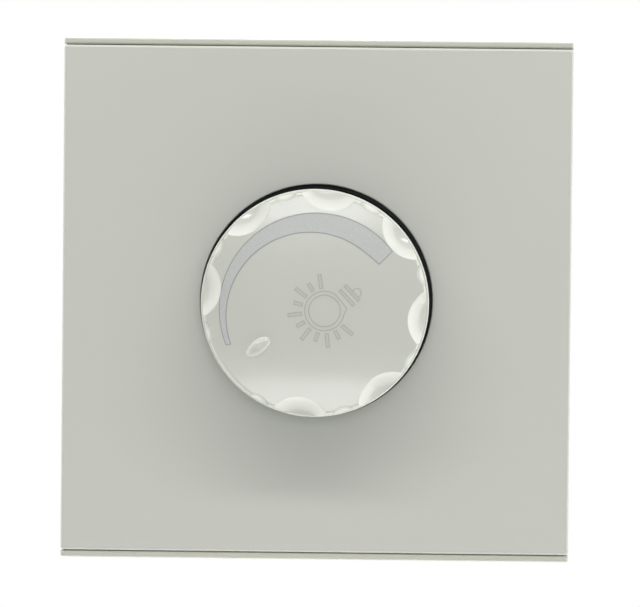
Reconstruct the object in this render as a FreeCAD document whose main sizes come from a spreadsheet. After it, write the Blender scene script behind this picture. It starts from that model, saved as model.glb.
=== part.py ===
"""Rotary dimmer switch for a wall box, as a parametric document in millimetres.

Each piece is drawn as one sees it on the wall: x to the right, y up and z out into the room, with the
wall at z = 0 and the knob's axis on the z axis. Its Placement then stands it upright, so that the whole
part has +Z up, its front towards -Y, and its origin on the knob's axis in the plane of the wall.
"""
import FreeCAD
import Part
import Sketcher
import math
import os
import re

SIZES = {
    # The plate: a clip-on panel over a mounting frame
    "plate_width": (86.0, "width of the panel and of the frame"),
    "plate_height": (88.0, "height of the frame over its two lips"),
    "plate_depth": (9.0, "wall to the face of the panel"),
    "frame_thickness": (2.4, "back plate of the frame"),
    "recess_depth": (0.8, "seat of the rear housing in the back of the frame"),
    "lip_thickness": (1.15, "top and bottom lip of the frame"),
    "lip_setback": (0.4, "lip behind the face of the panel"),
    "lip_edge_radius": (0.4, "rounded edges of the lips"),
    "lip_gap": (0.1, "groove between panel and lip"),
    "panel_wall": (1.8, "side walls of the panel"),
    "panel_face_wall": (2.0, "front wall of the panel"),
    "panel_edge_radius": (0.5, "rounded front edges of the panel"),
    "knob_hole_diameter": (39.2, "round hole in the panel"),
    "hole_edge_radius": (0.2, "rounded front edge of that hole"),
    "collar_wall": (1.5, "collar behind the hole"),
    "collar_gap": (0.8, "collar to the frame"),
    "rib_thickness": (1.2, "ribs behind the panel"),
    "rib_height": (2.0, "ribs behind the panel"),
    # The four latches between panel and frame
    "latch_offset": (14.0, "each latch above or below the middle"),
    "latch_length": (10.0, "bead on the panel wall"),
    "latch_bead": (0.5, "how far the bead stands out"),
    "latch_bead_height": (0.8, "bead along the depth"),
    "latch_level": (4.4, "wall to the back of the bead"),
    "latch_clearance": (0.15, "round the bead and beside the tab"),
    "tab_thickness": (1.6, "latch tab and locating rib of the frame"),
    "tab_pillar": (1.6, "each side of the latch window"),
    "tab_lintel": (1.2, "over the latch window"),
    "locating_rib_height": (1.2, "rib that centres the panel"),
    # Screw slots to the wall box
    "box_screw_spacing": (60.3, "between the two wall box screws"),
    "box_slot_length": (7.5, "overall length of a slot"),
    "box_slot_width": (4.4, "width of a slot"),
    # The knob
    "knob_diameter": (38.2, "widest rim of the cap"),
    "knob_rise": (14.8, "top of the knob above the panel"),
    "pointer_angle": (218.0, "pointer in degrees, anti-clockwise from the right"),
    "cap_height": (4.4, "cap from its seat to its top"),
    "cap_crown": (0.8, "top of the cap above its shoulder"),
    "crown_flat": (1.2, "flat in the middle of the crown"),
    "cap_flange_height": (0.9, "thin rim at the foot of the cap"),
    "cap_flange_width": (0.35, "how far that rim stands out"),
    "cap_edge_radius": (0.7, "shoulder of the cap"),
    "cap_flange_radius": (0.3, "rounded edge of the rim"),
    "cap_skirt": (2.3, "ring of the cap round the spigot"),
    "cap_recess_depth": (1.2, "underside recess that takes the spigot"),
    "scallop_count": (7, "finger scallops; the pointer takes the eighth place"),
    "scallop_reach": (3.2, "rim to the inner edge of a scallop"),
    "scallop_radius": (7.2, "ball that hollows a scallop"),
    "scallop_lift": (4.2, "centre of that ball above the shoulder"),
    "notch_reach": (1.32, "rim to the inner edge of a small notch"),
    "notch_radius": (2.9, "ball that hollows a notch"),
    "notch_lift": (0.5, "centre of that ball above the shoulder"),
    "pip_distance": (11.7, "pointer pip from the axis"),
    "pip_length": (4.6, "pointer pip along the radius"),
    "pip_width": (2.5, "pointer pip across"),
    "pip_height": (0.85, "pointer pip above the crown"),
    "cap_overhang": (0.25, "rim of the cap beyond the knob body"),
    "knob_wall": (1.7, "skirt of the knob body"),
    "knob_web": (2.0, "disc of the knob body under the cap"),
    "skirt_gap": (1.4, "skirt to the frame"),
    "spigot_clearance": (0.05, "round and above the spigot"),
    "hub_diameter": (11.0, "hub on the shaft"),
    "hub_gap": (0.6, "hub to the tip of the bushing"),
    "hub_clearance": (0.05, "bore round the shaft"),
    "hub_rib_count": (6, "ribs from hub to skirt"),
    "hub_rib_thickness": (1.2, "ribs from hub to skirt"),
    "hub_rib_height": (5.0, "ribs from hub to skirt"),
    # The potentiometer
    "shaft_diameter": (6.0, "D shaft"),
    "shaft_flat_depth": (1.5, "flat of the D"),
    "shaft_flat_runout": (0.3, "flat beyond the hub"),
    "shaft_tip_gap": (0.3, "tip of the shaft to the end of the bore"),
    "shaft_clearance": (0.05, "shaft in the bushing"),
    "shaft_collar_diameter": (8.4, "collar behind the bushing"),
    "shaft_collar_thickness": (0.8, "collar behind the bushing"),
    "shaft_endplay": (0.1, "collar to the base plate"),
    "bushing_diameter": (9.0, "threaded bushing"),
    "bushing_length": (6.0, "bushing in front of its base plate"),
    "bushing_clearance": (0.1, "bushing in frame, washer and nut"),
    "pot_diameter": (17.0, "base plate and can"),
    "pot_base_thickness": (1.6, "base plate"),
    "pot_depth": (8.4, "base plate and can together"),
    "can_wall": (0.4, "steel of the can"),
    "rotor_diameter": (13.0, "rotor on the shaft"),
    "rotor_thickness": (1.6, "rotor on the shaft"),
    "spigot_diameter": (4.0, "stepped end of the shaft in the rotor"),
    "rotor_clearance": (0.03, "rotor on that step"),
    "wiper_length": (12.0, "brass leaf across the rotor"),
    "wiper_width": (2.4, "brass leaf"),
    "wiper_thickness": (0.3, "brass leaf"),
    "wiper_gap": (0.1, "leaf to the track"),
    "wafer_clearance": (0.05, "wafer in the can"),
    "washer_diameter": (14.0, "washer under the nut"),
    "washer_thickness": (0.6, "washer under the nut"),
    "nut_across": (12.0, "flats of the nut"),
    "nut_height": (2.0, "nut"),
    "pin_count": (5, "pins of the potentiometer"),
    "pin_pitch": (2.5, "between the pins"),
    "pin_offset": (5.5, "row of pins below the axis"),
    "pin_diameter": (1.0, "pin"),
    "pin_clearance": (0.15, "hole round a pin"),
    "pin_stickout": (1.4, "pin behind the board"),
    # The rear housing and its screws
    "housing_width": (50.0, "rear housing"),
    "housing_height": (54.0, "rear housing"),
    "housing_depth": (27.6, "rear housing from its seat"),
    "housing_wall": (1.6, "walls of the rear housing"),
    "housing_corner_radius": (3.0, "upright corners of the housing"),
    "housing_back_radius": (1.0, "rear edges of the housing"),
    "housing_clearance": (0.15, "housing in the frame's recess"),
    "screw_inset": (4.0, "screw axis from the side of the housing"),
    "screw_diameter": (2.9, "self-tapping screw"),
    "screw_clearance": (0.15, "screw in the housing"),
    "pilot_clearance": (0.05, "screw in the frame's boss"),
    "boss_wall": (1.5, "bosses round the screws"),
    "boss_height": (4.0, "frame's boss above its back plate"),
    "boss_cap": (1.2, "frame's boss beyond the screw tip"),
    "screw_head_diameter": (5.4, "screw head"),
    "screw_head_height": (1.8, "screw head"),
    "screw_head_sink": (3.0, "counterbore for the head"),
    "screw_head_clearance": (0.25, "head in its counterbore"),
    "drive_length": (3.0, "cross recess of a screw head"),
    "drive_width": (0.7, "cross recess of a screw head"),
    "drive_depth": (0.9, "cross recess of a screw head"),
    "vent_count": (7, "slots in the top of the housing"),
    "vent_pitch": (4.4, "between the slots"),
    "vent_width": (1.8, "slot"),
    "vent_length": (9.0, "slot"),
    "vent_start": (11.5, "slots behind the housing's seat"),
    # The circuit board and what stands on it
    "board_gap": (2.0, "can to the board"),
    "board_thickness": (1.6, "circuit board"),
    "board_clearance": (0.5, "board to the housing"),
    "ledge_width": (2.4, "ledges that carry the board"),
    "ledge_length": (16.0, "ledges that carry the board"),
    "capacitor_length": (16.0, "filter capacitor"),
    "capacitor_width": (7.0, "filter capacitor"),
    "capacitor_height": (11.5, "filter capacitor"),
    "capacitor_radius": (0.6, "rounded edges of both capacitors"),
    "capacitor_inset": (3.4, "filter capacitor from the side of the board"),
    "capacitor_up": (7.0, "filter capacitor, above the axis"),
    "choke_inset": (3.25, "choke from the side of the board"),
    "choke_up": (5.0, "choke, above the axis"),
    "core_diameter": (13.0, "ring core"),
    "core_hole": (7.5, "ring core"),
    "core_height": (6.0, "ring core"),
    "winding_thickness": (1.1, "wire round the core"),
    "winding_clearance": (0.05, "wire to the core"),
    "winding_sweep": (300.0, "degrees of the core that are wound"),
    "triac_width": (8.0, "triac"),
    "triac_thickness": (2.7, "triac"),
    "triac_height": (10.5, "triac"),
    "triac_lift": (1.6, "triac above the board"),
    "triac_hole": (3.2, "hole for its screw"),
    "triac_hole_drop": (3.6, "that hole from the triac's end"),
    "lead_count": (3, "legs of the triac"),
    "lead_pitch": (2.3, "between those legs"),
    "lead_width": (0.8, "leg of the triac"),
    "sink_inset": (2.7, "heat sink from the top of the board"),
    "sink_width": (18.0, "heat sink"),
    "sink_height": (12.6, "heat sink"),
    "sink_thickness": (1.5, "heat sink"),
    "sink_foot": (6.0, "foot of the heat sink"),
    "bolt_diameter": (3.0, "triac screw"),
    "bolt_head_diameter": (5.4, "triac screw"),
    "bolt_head_height": (1.6, "triac screw"),
    "bolt_nut_across": (5.5, "triac nut"),
    "bolt_nut_height": (1.8, "triac nut"),
    "bolt_end": (0.4, "screw beyond its nut"),
    "bolt_clearance": (0.1, "screw in its holes"),
    "timing_length": (7.0, "timing capacitor"),
    "timing_width": (2.6, "timing capacitor"),
    "timing_height": (6.0, "timing capacitor"),
    "timing_inset": (3.9, "timing capacitor from the side of the board"),
    "timing_up": (-0.5, "timing capacitor, above the axis"),
    "diac_diameter": (1.9, "diac"),
    "diac_length": (4.2, "diac"),
    "diac_inset": (4.2, "leg of the diac from the side of the board"),
    "diac_up": (-5.0, "diac, above the axis"),
    "resistor_count": (2, "resistors"),
    "resistor_diameter": (2.4, "resistor"),
    "resistor_length": (6.5, "resistor"),
    "resistor_inset": (3.55, "legs of the resistors from the side of the board"),
    "resistor_up": (-6.0, "uppermost resistor, above the axis"),
    "resistor_pitch": (3.6, "between the resistors"),
    "wire_diameter": (0.6, "legs of the diac and the resistors"),
    "wire_overhang": (1.6, "leg beyond the body"),
    "fuse_diameter": (5.0, "fuse"),
    "fuse_length": (20.0, "fuse"),
    "fuse_glass_diameter": (4.4, "glass of the fuse"),
    "fuse_cap_length": (4.8, "end cap of the fuse"),
    "fuse_inset": (6.9, "fuse from the side of the board"),
    "fuse_gap": (0.6, "fuse clips to the terminal block"),
    "fuse_lift": (3.6, "axis of the fuse above the board"),
    "clip_length": (3.6, "fuse clip"),
    "clip_wall": (0.5, "fuse clip"),
    "clip_grip": (1.25, "arms of the clip beyond the axis of the fuse"),
    "clip_clearance": (0.03, "fuse in its clip"),
    # The wiring terminals
    "pole_pitch": (7.5, "between the two terminals"),
    "block_depth": (9.0, "terminal block, up from the wire side"),
    "block_height": (12.6, "terminal block above the board"),
    "block_gap": (0.2, "terminal block to the housing"),
    "cage_width": (6.0, "brass cage"),
    "cage_depth": (6.4, "brass cage along the wire"),
    "cage_height": (6.2, "brass cage"),
    "cage_wall": (0.8, "brass cage"),
    "cage_lift": (2.4, "cage above the board"),
    "cage_inset": (0.8, "cage behind the wire mouth"),
    "cage_clearance": (0.1, "cage in the block"),
    "clamp_diameter": (3.0, "clamp screw"),
    "clamp_reach": (0.2, "clamp screw inside the cage"),
    "clamp_standoff": (1.0, "clamp screw head to the cage"),
    "clamp_head_diameter": (4.2, "clamp screw head"),
    "clamp_head_height": (2.0, "clamp screw head"),
    "clamp_clearance": (0.05, "clamp screw in the cage"),
    "clamp_well_clearance": (0.2, "head in its well"),
    "mouth_clearance": (0.4, "housing round the terminal block"),
}

# Levels out from the wall, as formulas of the sizes
SEAT = "recess_depth"
DECK = "frame_thickness"
FACE = "plate_depth"
KNOB_TOP = "(plate_depth + knob_rise)"
CAP_SHOULDER = "(plate_depth + knob_rise - cap_crown)"
CAP_SEAT = "(plate_depth + knob_rise - cap_height)"
WEB_BACK = "(plate_depth + knob_rise - cap_height - knob_web)"
HUB_FOOT = "(recess_depth + bushing_length + hub_gap)"
BASE_BACK = "(recess_depth - pot_base_thickness)"
COLLAR_BACK = f"({BASE_BACK} - shaft_endplay - shaft_collar_thickness)"
ROTOR_BACK = f"({COLLAR_BACK} - rotor_thickness)"
CAN_BACK = "(recess_depth - pot_depth)"
BOARD_FRONT = f"({CAN_BACK} - board_gap)"
BOARD_BACK = f"({BOARD_FRONT} - board_thickness)"
HOUSING_BACK = "(recess_depth - housing_depth)"
HOUSING_FLOOR = f"({HOUSING_BACK} + housing_wall)"
SCREW_SEAT = f"({HOUSING_BACK} + screw_head_sink)"

# Shared places and outlines
PANEL_SIDE = "(plate_width / 2)"
PANEL_END = "(plate_height / 2 - lip_thickness - lip_gap)"
COLLAR_DIAMETER = "(knob_hole_diameter + 2 * collar_wall)"
TAB_SIDE = f"({PANEL_SIDE} - panel_wall - latch_clearance)"
TAB_END = f"({PANEL_END} - panel_wall - latch_clearance)"
CAP_RECESS_RADIUS = "(knob_diameter / 2 - cap_skirt)"
SKIRT_RADIUS = "(knob_diameter / 2 - cap_overhang)"
SHAFT_FLAT = "(shaft_diameter / 2 - shaft_flat_depth)"
CAN_INSIDE = "(pot_diameter / 2 - can_wall)"
SCREW_RIGHT = "(housing_width / 2 - screw_inset)"
SCREW_UP = "(housing_height / 2 - screw_inset)"
BOARD_SIDE = "(housing_width / 2 - housing_wall - board_clearance)"
BOARD_END = "(housing_height / 2 - housing_wall - board_clearance)"
TRIAC_UP = f"({BOARD_END} - sink_inset - sink_foot)"
BLOCK_FOOT = "(housing_wall + block_gap - housing_height / 2)"
CLAMP_UP = f"({BLOCK_FOOT} + cage_inset + cage_depth / 2)"
CAGE_BACK = f"({BOARD_BACK} - cage_lift - cage_height)"
BLOCK_BACK = f"({BOARD_BACK} - block_height)"

FOUR_SIGNS = [("", ""), ("-", ""), ("-", "-"), ("", "-")]
THROUGH = "through all"
UPRIGHT = FreeCAD.Rotation(FreeCAD.Vector(1, 0, 0), 90)
LEVEL = FreeCAD.Rotation()
NEAR = 1e-4

# The largest part of a wall that a rounded edge takes: both edges of a lip, or one edge of a wall
LIP_SHARE = 0.45
EDGE_SHARE = 0.8
# Size of a sketch's lines before its constraints set them
ROUGH = 1.0

doc = FreeCAD.newDocument("RotaryDimmer")
sheet = doc.addObject("Spreadsheet::Sheet", "Sizes")
for row, (alias, (value, meaning)) in enumerate(SIZES.items(), start=1):
    sheet.set(f"A{row}", meaning)
    sheet.set(f"B{row}", str(value))
    sheet.setAlias(f"B{row}", alias)
doc.recompute()
pieces = []


def size(formula):
    """Turn the size names in a formula into references to the sheet."""
    return re.sub(r"[a-z_]+", lambda word: f"Sizes.{word[0]}" if word[0] in SIZES else word[0], formula)


def bind(feature, **formulas):
    """Bind properties of a feature to formulas of the sizes."""
    for name, formula in formulas.items():
        feature.setExpression(name, size(formula))


def piece(label, feature, right="0", up="0", out="0", turn=UPRIGHT):
    """Name a finished piece, stand it upright and set it where it belongs."""
    feature.Label = label
    feature.Placement = FreeCAD.Placement(FreeCAD.Vector(), turn)
    feature.setExpression("Placement.Base.x", size(right))
    feature.setExpression("Placement.Base.y", size(f"-({out})"))
    feature.setExpression("Placement.Base.z", size(up))
    pieces.append(feature)


# Sketches and the features made from them

def new_body(name):
    """Start an empty body."""
    return doc.addObject("PartDesign::Body", name)


def datum(body, role):
    """Find one of a body's own origin planes or axes."""
    return next(item for item in body.Origin.OriginFeatures if item.Role == role)


def sketch_on(body, name, out="0", plane="XY_Plane"):
    """Start a sketch on an origin plane, moved along the plane's normal."""
    sketch = body.newObject("Sketcher::SketchObject", name)
    sketch.AttachmentSupport = (datum(body, plane), [""])
    sketch.MapMode = "FlatFace"
    sketch.setExpression("AttachmentOffset.Base.z", size(out))
    return sketch


def drive(sketch, formula, kind, *places):
    """Add a driving constraint and bind it to a formula."""
    index = sketch.addConstraint(Sketcher.Constraint(kind, *places, ROUGH))
    sketch.setExpression(f"Constraints[{index}]", size(formula))


def fix_point(sketch, geometry, point, x, y):
    """Set a point of a sketch by its distances from the sketch's origin."""
    for kind, axis, formula in (("DistanceX", -2, x), ("DistanceY", -1, y)):
        if formula == "0":
            sketch.addConstraint(Sketcher.Constraint("PointOnObject", geometry, point, axis))
        else:
            drive(sketch, formula, kind, -1, 1, geometry, point)


def outline(sketch, corners, crowned=False):
    """Draw a closed outline; a crowned one rises to its flat last side by an arc centred on the y axis."""
    first = sketch.GeometryCount
    count = len(corners)
    turns = [math.pi / 2 + 2 * math.pi * (index + 1 - count) / count for index in range(count)]
    spots = [FreeCAD.Vector(math.cos(turn), math.sin(turn), 0) for turn in turns]
    for index in range(count):
        if crowned and index == count - 3:
            ring = Part.Circle(FreeCAD.Vector(), FreeCAD.Vector(0, 0, 1), ROUGH)
            arc = sketch.addGeometry(Part.ArcOfCircle(ring, turns[index], turns[index + 1]))
            sketch.addConstraint(Sketcher.Constraint("PointOnObject", arc, 3, -2))
        else:
            sketch.addGeometry(Part.LineSegment(spots[index], spots[(index + 1) % count]))
    for index in range(count):
        following = first + (index + 1) % count
        sketch.addConstraint(Sketcher.Constraint("Coincident", first + index, 2, following, 1))
    for index, (x, y) in enumerate(corners):
        fix_point(sketch, first + index, 1, x, y)


def rectangle(sketch, left, bottom, right, top):
    """Draw a rectangle by its sides."""
    outline(sketch, [(left, bottom), (right, bottom), (right, top), (left, top)])


def centred(sketch, half_width, half_height):
    """Draw a rectangle about the sketch's origin."""
    rectangle(sketch, f"-{half_width}", f"-{half_height}", half_width, half_height)


def circle(sketch, diameter, x="0", y="0"):
    """Draw a circle."""
    index = sketch.addGeometry(Part.Circle(FreeCAD.Vector(), FreeCAD.Vector(0, 0, 1), ROUGH))
    fix_point(sketch, index, 3, x, y)
    drive(sketch, diameter, "Diameter", index)


def slot(sketch, x, length, width):
    """Draw a slot along x, with round ends, centred on the x axis."""
    left_end = Part.Circle(FreeCAD.Vector(-1, 0, 0), FreeCAD.Vector(0, 0, 1), ROUGH)
    right_end = Part.Circle(FreeCAD.Vector(1, 0, 0), FreeCAD.Vector(0, 0, 1), ROUGH)
    left = sketch.addGeometry(Part.ArcOfCircle(left_end, math.pi / 2, 3 * math.pi / 2))
    right = sketch.addGeometry(Part.ArcOfCircle(right_end, -math.pi / 2, math.pi / 2))
    low = sketch.addGeometry(Part.LineSegment(FreeCAD.Vector(-1, -1, 0), FreeCAD.Vector(1, -1, 0)))
    high = sketch.addGeometry(Part.LineSegment(FreeCAD.Vector(1, 1, 0), FreeCAD.Vector(-1, 1, 0)))
    for one, one_end, other, other_end in ((left, 2, low, 1), (low, 2, right, 1),
                                           (right, 2, high, 1), (high, 2, left, 1)):
        sketch.addConstraint(Sketcher.Constraint("Tangent", one, one_end, other, other_end))
    sketch.addConstraint(Sketcher.Constraint("Equal", left, right))
    reach = f"({length} - {width}) / 2"
    fix_point(sketch, left, 3, f"{x} - {reach}", "0")
    fix_point(sketch, right, 3, f"{x} + {reach}", "0")
    drive(sketch, width, "Diameter", left)


def d_shape(sketch, radius, flat):
    """Draw a circle cut off by a flat above its centre."""
    ring = Part.Circle(FreeCAD.Vector(), FreeCAD.Vector(0, 0, 1), ROUGH)
    arc = sketch.addGeometry(Part.ArcOfCircle(ring, 5 * math.pi / 6, 13 * math.pi / 6))
    ends = [sketch.getPoint(arc, 2), sketch.getPoint(arc, 1)]
    line = sketch.addGeometry(Part.LineSegment(*ends))
    sketch.addConstraint(Sketcher.Constraint("Coincident", arc, 2, line, 1))
    sketch.addConstraint(Sketcher.Constraint("Coincident", line, 2, arc, 1))
    sketch.addConstraint(Sketcher.Constraint("Horizontal", line))
    sketch.addConstraint(Sketcher.Constraint("Coincident", arc, 3, -1, 1))
    drive(sketch, radius, "Radius", arc)
    drive(sketch, flat, "DistanceY", -1, 1, line, 1)


def pad(body, sketch, length, inwards=False):
    """Add material from a sketch along its normal, or against it."""
    feature = body.newObject("PartDesign::Pad", f"{sketch.Name}Pad")
    feature.Profile = sketch
    feature.Reversed = inwards
    bind(feature, Length=length)


def pocket(body, sketch, depth, along_normal=False):
    """Cut a sketch against its normal, or along it."""
    feature = body.newObject("PartDesign::Pocket", f"{sketch.Name}Pocket")
    feature.Profile = sketch
    feature.Reversed = along_normal
    if depth == THROUGH:
        feature.Type = "ThroughAll"
    else:
        bind(feature, Length=depth)


def revolve(body, sketch, sweep="360"):
    """Turn a profile about the body's z axis."""
    feature = body.newObject("PartDesign::Revolution", f"{sketch.Name}Turn")
    feature.Profile = sketch
    feature.ReferenceAxis = (sketch, ["V_Axis"])
    bind(feature, Angle=sweep)


def turned(body, name, corners, crowned=False):
    """Turn an outline of radius and height corners about the z axis."""
    profile = sketch_on(body, name, plane="XZ_Plane")
    outline(profile, corners, crowned)
    revolve(body, profile)


def repeat_round(body, original, sweep, count):
    """Repeat a feature about the z axis."""
    pattern = body.newObject("PartDesign::PolarPattern", f"{original.Name}Round")
    pattern.Originals = [original]
    pattern.Axis = (datum(body, "Z_Axis"), [""])
    bind(pattern, Angle=sweep, Occurrences=count)
    body.Tip = pattern


def round_edges(body, radius, wanted):
    """Round those edges of a body that the test picks."""
    doc.recompute()
    base = body.Tip
    names = [f"Edge{index}" for index, edge in enumerate(base.Shape.Edges, start=1) if wanted(edge.BoundBox)]
    fillet = body.newObject("PartDesign::Fillet", f"{base.Name}Round")
    fillet.Base = (base, names)
    bind(fillet, Radius=radius)


def is_upright(box):
    """True for an edge that runs along z."""
    return box.XLength < NEAR and box.YLength < NEAR


def is_level_at(height):
    """Make a test for edges that lie flat at a height."""
    return lambda box: abs(box.ZMin - height) < NEAR and abs(box.ZMax - height) < NEAR


# Solids that are simple blocks, rods and their cuts

def block(name, low, extent):
    """A rectangular block from its lowest corner."""
    feature = doc.addObject("Part::Box", name)
    bind(feature, Length=extent[0], Width=extent[1], Height=extent[2])
    for axis, formula in zip("xyz", low):
        feature.setExpression(f"Placement.Base.{axis}", size(formula))
    return feature


def rod(name, diameter, length, start, axis=(0, 0, 1)):
    """A round rod from the centre of its first end."""
    feature = doc.addObject("Part::Cylinder", name)
    turn = FreeCAD.Rotation(FreeCAD.Vector(0, 0, 1), FreeCAD.Vector(*axis))
    feature.Placement = FreeCAD.Placement(FreeCAD.Vector(), turn)
    bind(feature, Radius=f"({diameter}) / 2", Height=length)
    for name_of_axis, formula in zip("xyz", start):
        feature.setExpression(f"Placement.Base.{name_of_axis}", size(formula))
    return feature


def joined(name, parts):
    """One solid from several."""
    feature = doc.addObject("Part::MultiFuse", name)
    feature.Shapes = parts
    return feature


def cut(name, base, tools):
    """A solid less other solids."""
    feature = doc.addObject("Part::Cut", name)
    feature.Base = base
    feature.Tool = tools[0] if len(tools) == 1 else joined(f"{name}Tools", tools)
    return feature


def group(name, solids):
    """Like solids that stay apart and share one name."""
    feature = doc.addObject("Part::Compound", name)
    feature.Links = solids
    return feature


# The panel and the frame

def make_front_panel():
    """Moulded cover: a shallow tray with a collar round the knob hole, ribs and four latch beads."""
    body = new_body("Panel")
    tray = sketch_on(body, "PanelTray", DECK)
    centred(tray, PANEL_SIDE, PANEL_END)
    pad(body, tray, f"{FACE} - {DECK}")
    doc.recompute()
    face = body.Shape.BoundBox.ZMax
    on_face = is_level_at(face)
    round_edges(body, "panel_edge_radius", lambda box: on_face(box) or is_upright(box))
    hollow = sketch_on(body, "PanelHollow", DECK)
    centred(hollow, f"({PANEL_SIDE} - panel_wall)", f"({PANEL_END} - panel_wall)")
    circle(hollow, COLLAR_DIAMETER)
    pocket(body, hollow, f"{FACE} - panel_face_wall - {DECK}", along_normal=True)
    ribs = sketch_on(body, "PanelRibs", f"{FACE} - panel_face_wall - rib_height")
    start = f"({COLLAR_DIAMETER} / 2 - collar_wall / 2)"
    half = "rib_thickness / 2"
    for sign in ("", "-"):
        rectangle(ribs, f"{sign}{start}", f"-{half}", f"{sign}({PANEL_SIDE} - panel_wall / 2)", half)
        rectangle(ribs, f"-{half}", f"{sign}{start}", half, f"{sign}({PANEL_END} - panel_wall / 2)")
    pad(body, ribs, "rib_height + panel_face_wall / 2")
    relief = sketch_on(body, "CollarRelief", DECK)
    circle(relief, f"{COLLAR_DIAMETER} + 2 * collar_gap")
    pocket(body, relief, "collar_gap", along_normal=True)
    hole = sketch_on(body, "KnobHole", DECK)
    circle(hole, "knob_hole_diameter")
    pocket(body, hole, THROUGH, along_normal=True)
    round_edges(body, "hole_edge_radius",
                lambda box: on_face(box) and abs(box.XLength - sheet.knob_hole_diameter) < NEAR)
    beads = sketch_on(body, "LatchBeads", "latch_level")
    for side, end in FOUR_SIGNS:
        rectangle(beads, f"{side}({PANEL_SIDE} - panel_wall - latch_bead)",
                  f"{end}(latch_offset - latch_length / 2)",
                  f"{side}({PANEL_SIDE} - panel_wall / 2)", f"{end}(latch_offset + latch_length / 2)")
    pad(body, beads, "latch_bead_height")
    piece("front_panel", body)


def make_mounting_frame():
    """Moulded frame: back plate with two lips, screw slots, a seat for the housing and latch tabs."""
    body = new_body("Frame")
    plate = sketch_on(body, "FramePlate")
    centred(plate, PANEL_SIDE, "(plate_height / 2)")
    pad(body, plate, DECK)
    lips = sketch_on(body, "FrameLips")
    for sign in ("", "-"):
        rectangle(lips, f"-{PANEL_SIDE}", f"{sign}(plate_height / 2 - lip_thickness)",
                  PANEL_SIDE, f"{sign}(plate_height / 2)")
    pad(body, lips, f"{FACE} - lip_setback")
    doc.recompute()
    on_lip = is_level_at(body.Shape.BoundBox.ZMax)
    side = sheet.plate_width / 2
    end = sheet.plate_height / 2
    outer = lambda box: abs(abs(box.XMin) - side) < NEAR and abs(abs(box.YMin) - end) < NEAR
    round_edges(body, f"min(lip_edge_radius; {LIP_SHARE} * lip_thickness)",
                lambda box: on_lip(box) or (is_upright(box) and outer(box)))
    seat = sketch_on(body, "HousingSeat")
    centred(seat, "(housing_width / 2 + housing_clearance)", "(housing_height / 2 + housing_clearance)")
    pocket(body, seat, SEAT, along_normal=True)
    rib = sketch_on(body, "LocatingRib", DECK)
    centred(rib, TAB_SIDE, TAB_END)
    centred(rib, f"({TAB_SIDE} - tab_thickness)", f"({TAB_END} - tab_thickness)")
    pad(body, rib, "locating_rib_height")
    pillars = sketch_on(body, "LatchPillars", DECK)
    lintels = sketch_on(body, "LatchLintels", "latch_level + latch_bead_height + latch_clearance")
    window = "latch_length / 2 + latch_clearance"
    for across, upright in FOUR_SIGNS:
        inner = f"{across}({TAB_SIDE} - tab_thickness)"
        outer_side = f"{across}{TAB_SIDE}"
        for sign in ("+", "-"):
            near = f"{upright}(latch_offset {sign} ({window}))"
            far = f"{upright}(latch_offset {sign} ({window} + tab_pillar))"
            rectangle(pillars, inner, near, outer_side, far)
        rectangle(lintels, inner, f"{upright}(latch_offset - ({window} + tab_pillar))",
                  outer_side, f"{upright}(latch_offset + {window} + tab_pillar)")
    pad(body, pillars, f"latch_level + latch_bead_height + latch_clearance - {DECK}")
    pad(body, lintels, "tab_lintel")
    bosses = sketch_on(body, "FrameBosses", SEAT)
    pilots = sketch_on(body, "FramePilots", SEAT)
    for across, upright in FOUR_SIGNS:
        place = (f"{across}{SCREW_RIGHT}", f"{upright}{SCREW_UP}")
        circle(bosses, "screw_diameter + 2 * pilot_clearance + 2 * boss_wall", *place)
        circle(pilots, "screw_diameter + 2 * pilot_clearance", *place)
    pad(body, bosses, f"{DECK} - {SEAT} + boss_height")
    pocket(body, pilots, f"{DECK} - {SEAT} + boss_height - boss_cap", along_normal=True)
    slots = sketch_on(body, "WallScrewSlots")
    for sign in ("", "-"):
        slot(slots, f"{sign}box_screw_spacing / 2", "box_slot_length", "box_slot_width")
    pocket(body, slots, THROUGH, along_normal=True)
    bush = sketch_on(body, "BushingHole")
    circle(bush, "bushing_diameter + 2 * bushing_clearance")
    pocket(body, bush, THROUGH, along_normal=True)
    piece("mounting_frame", body)


# The knob

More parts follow.
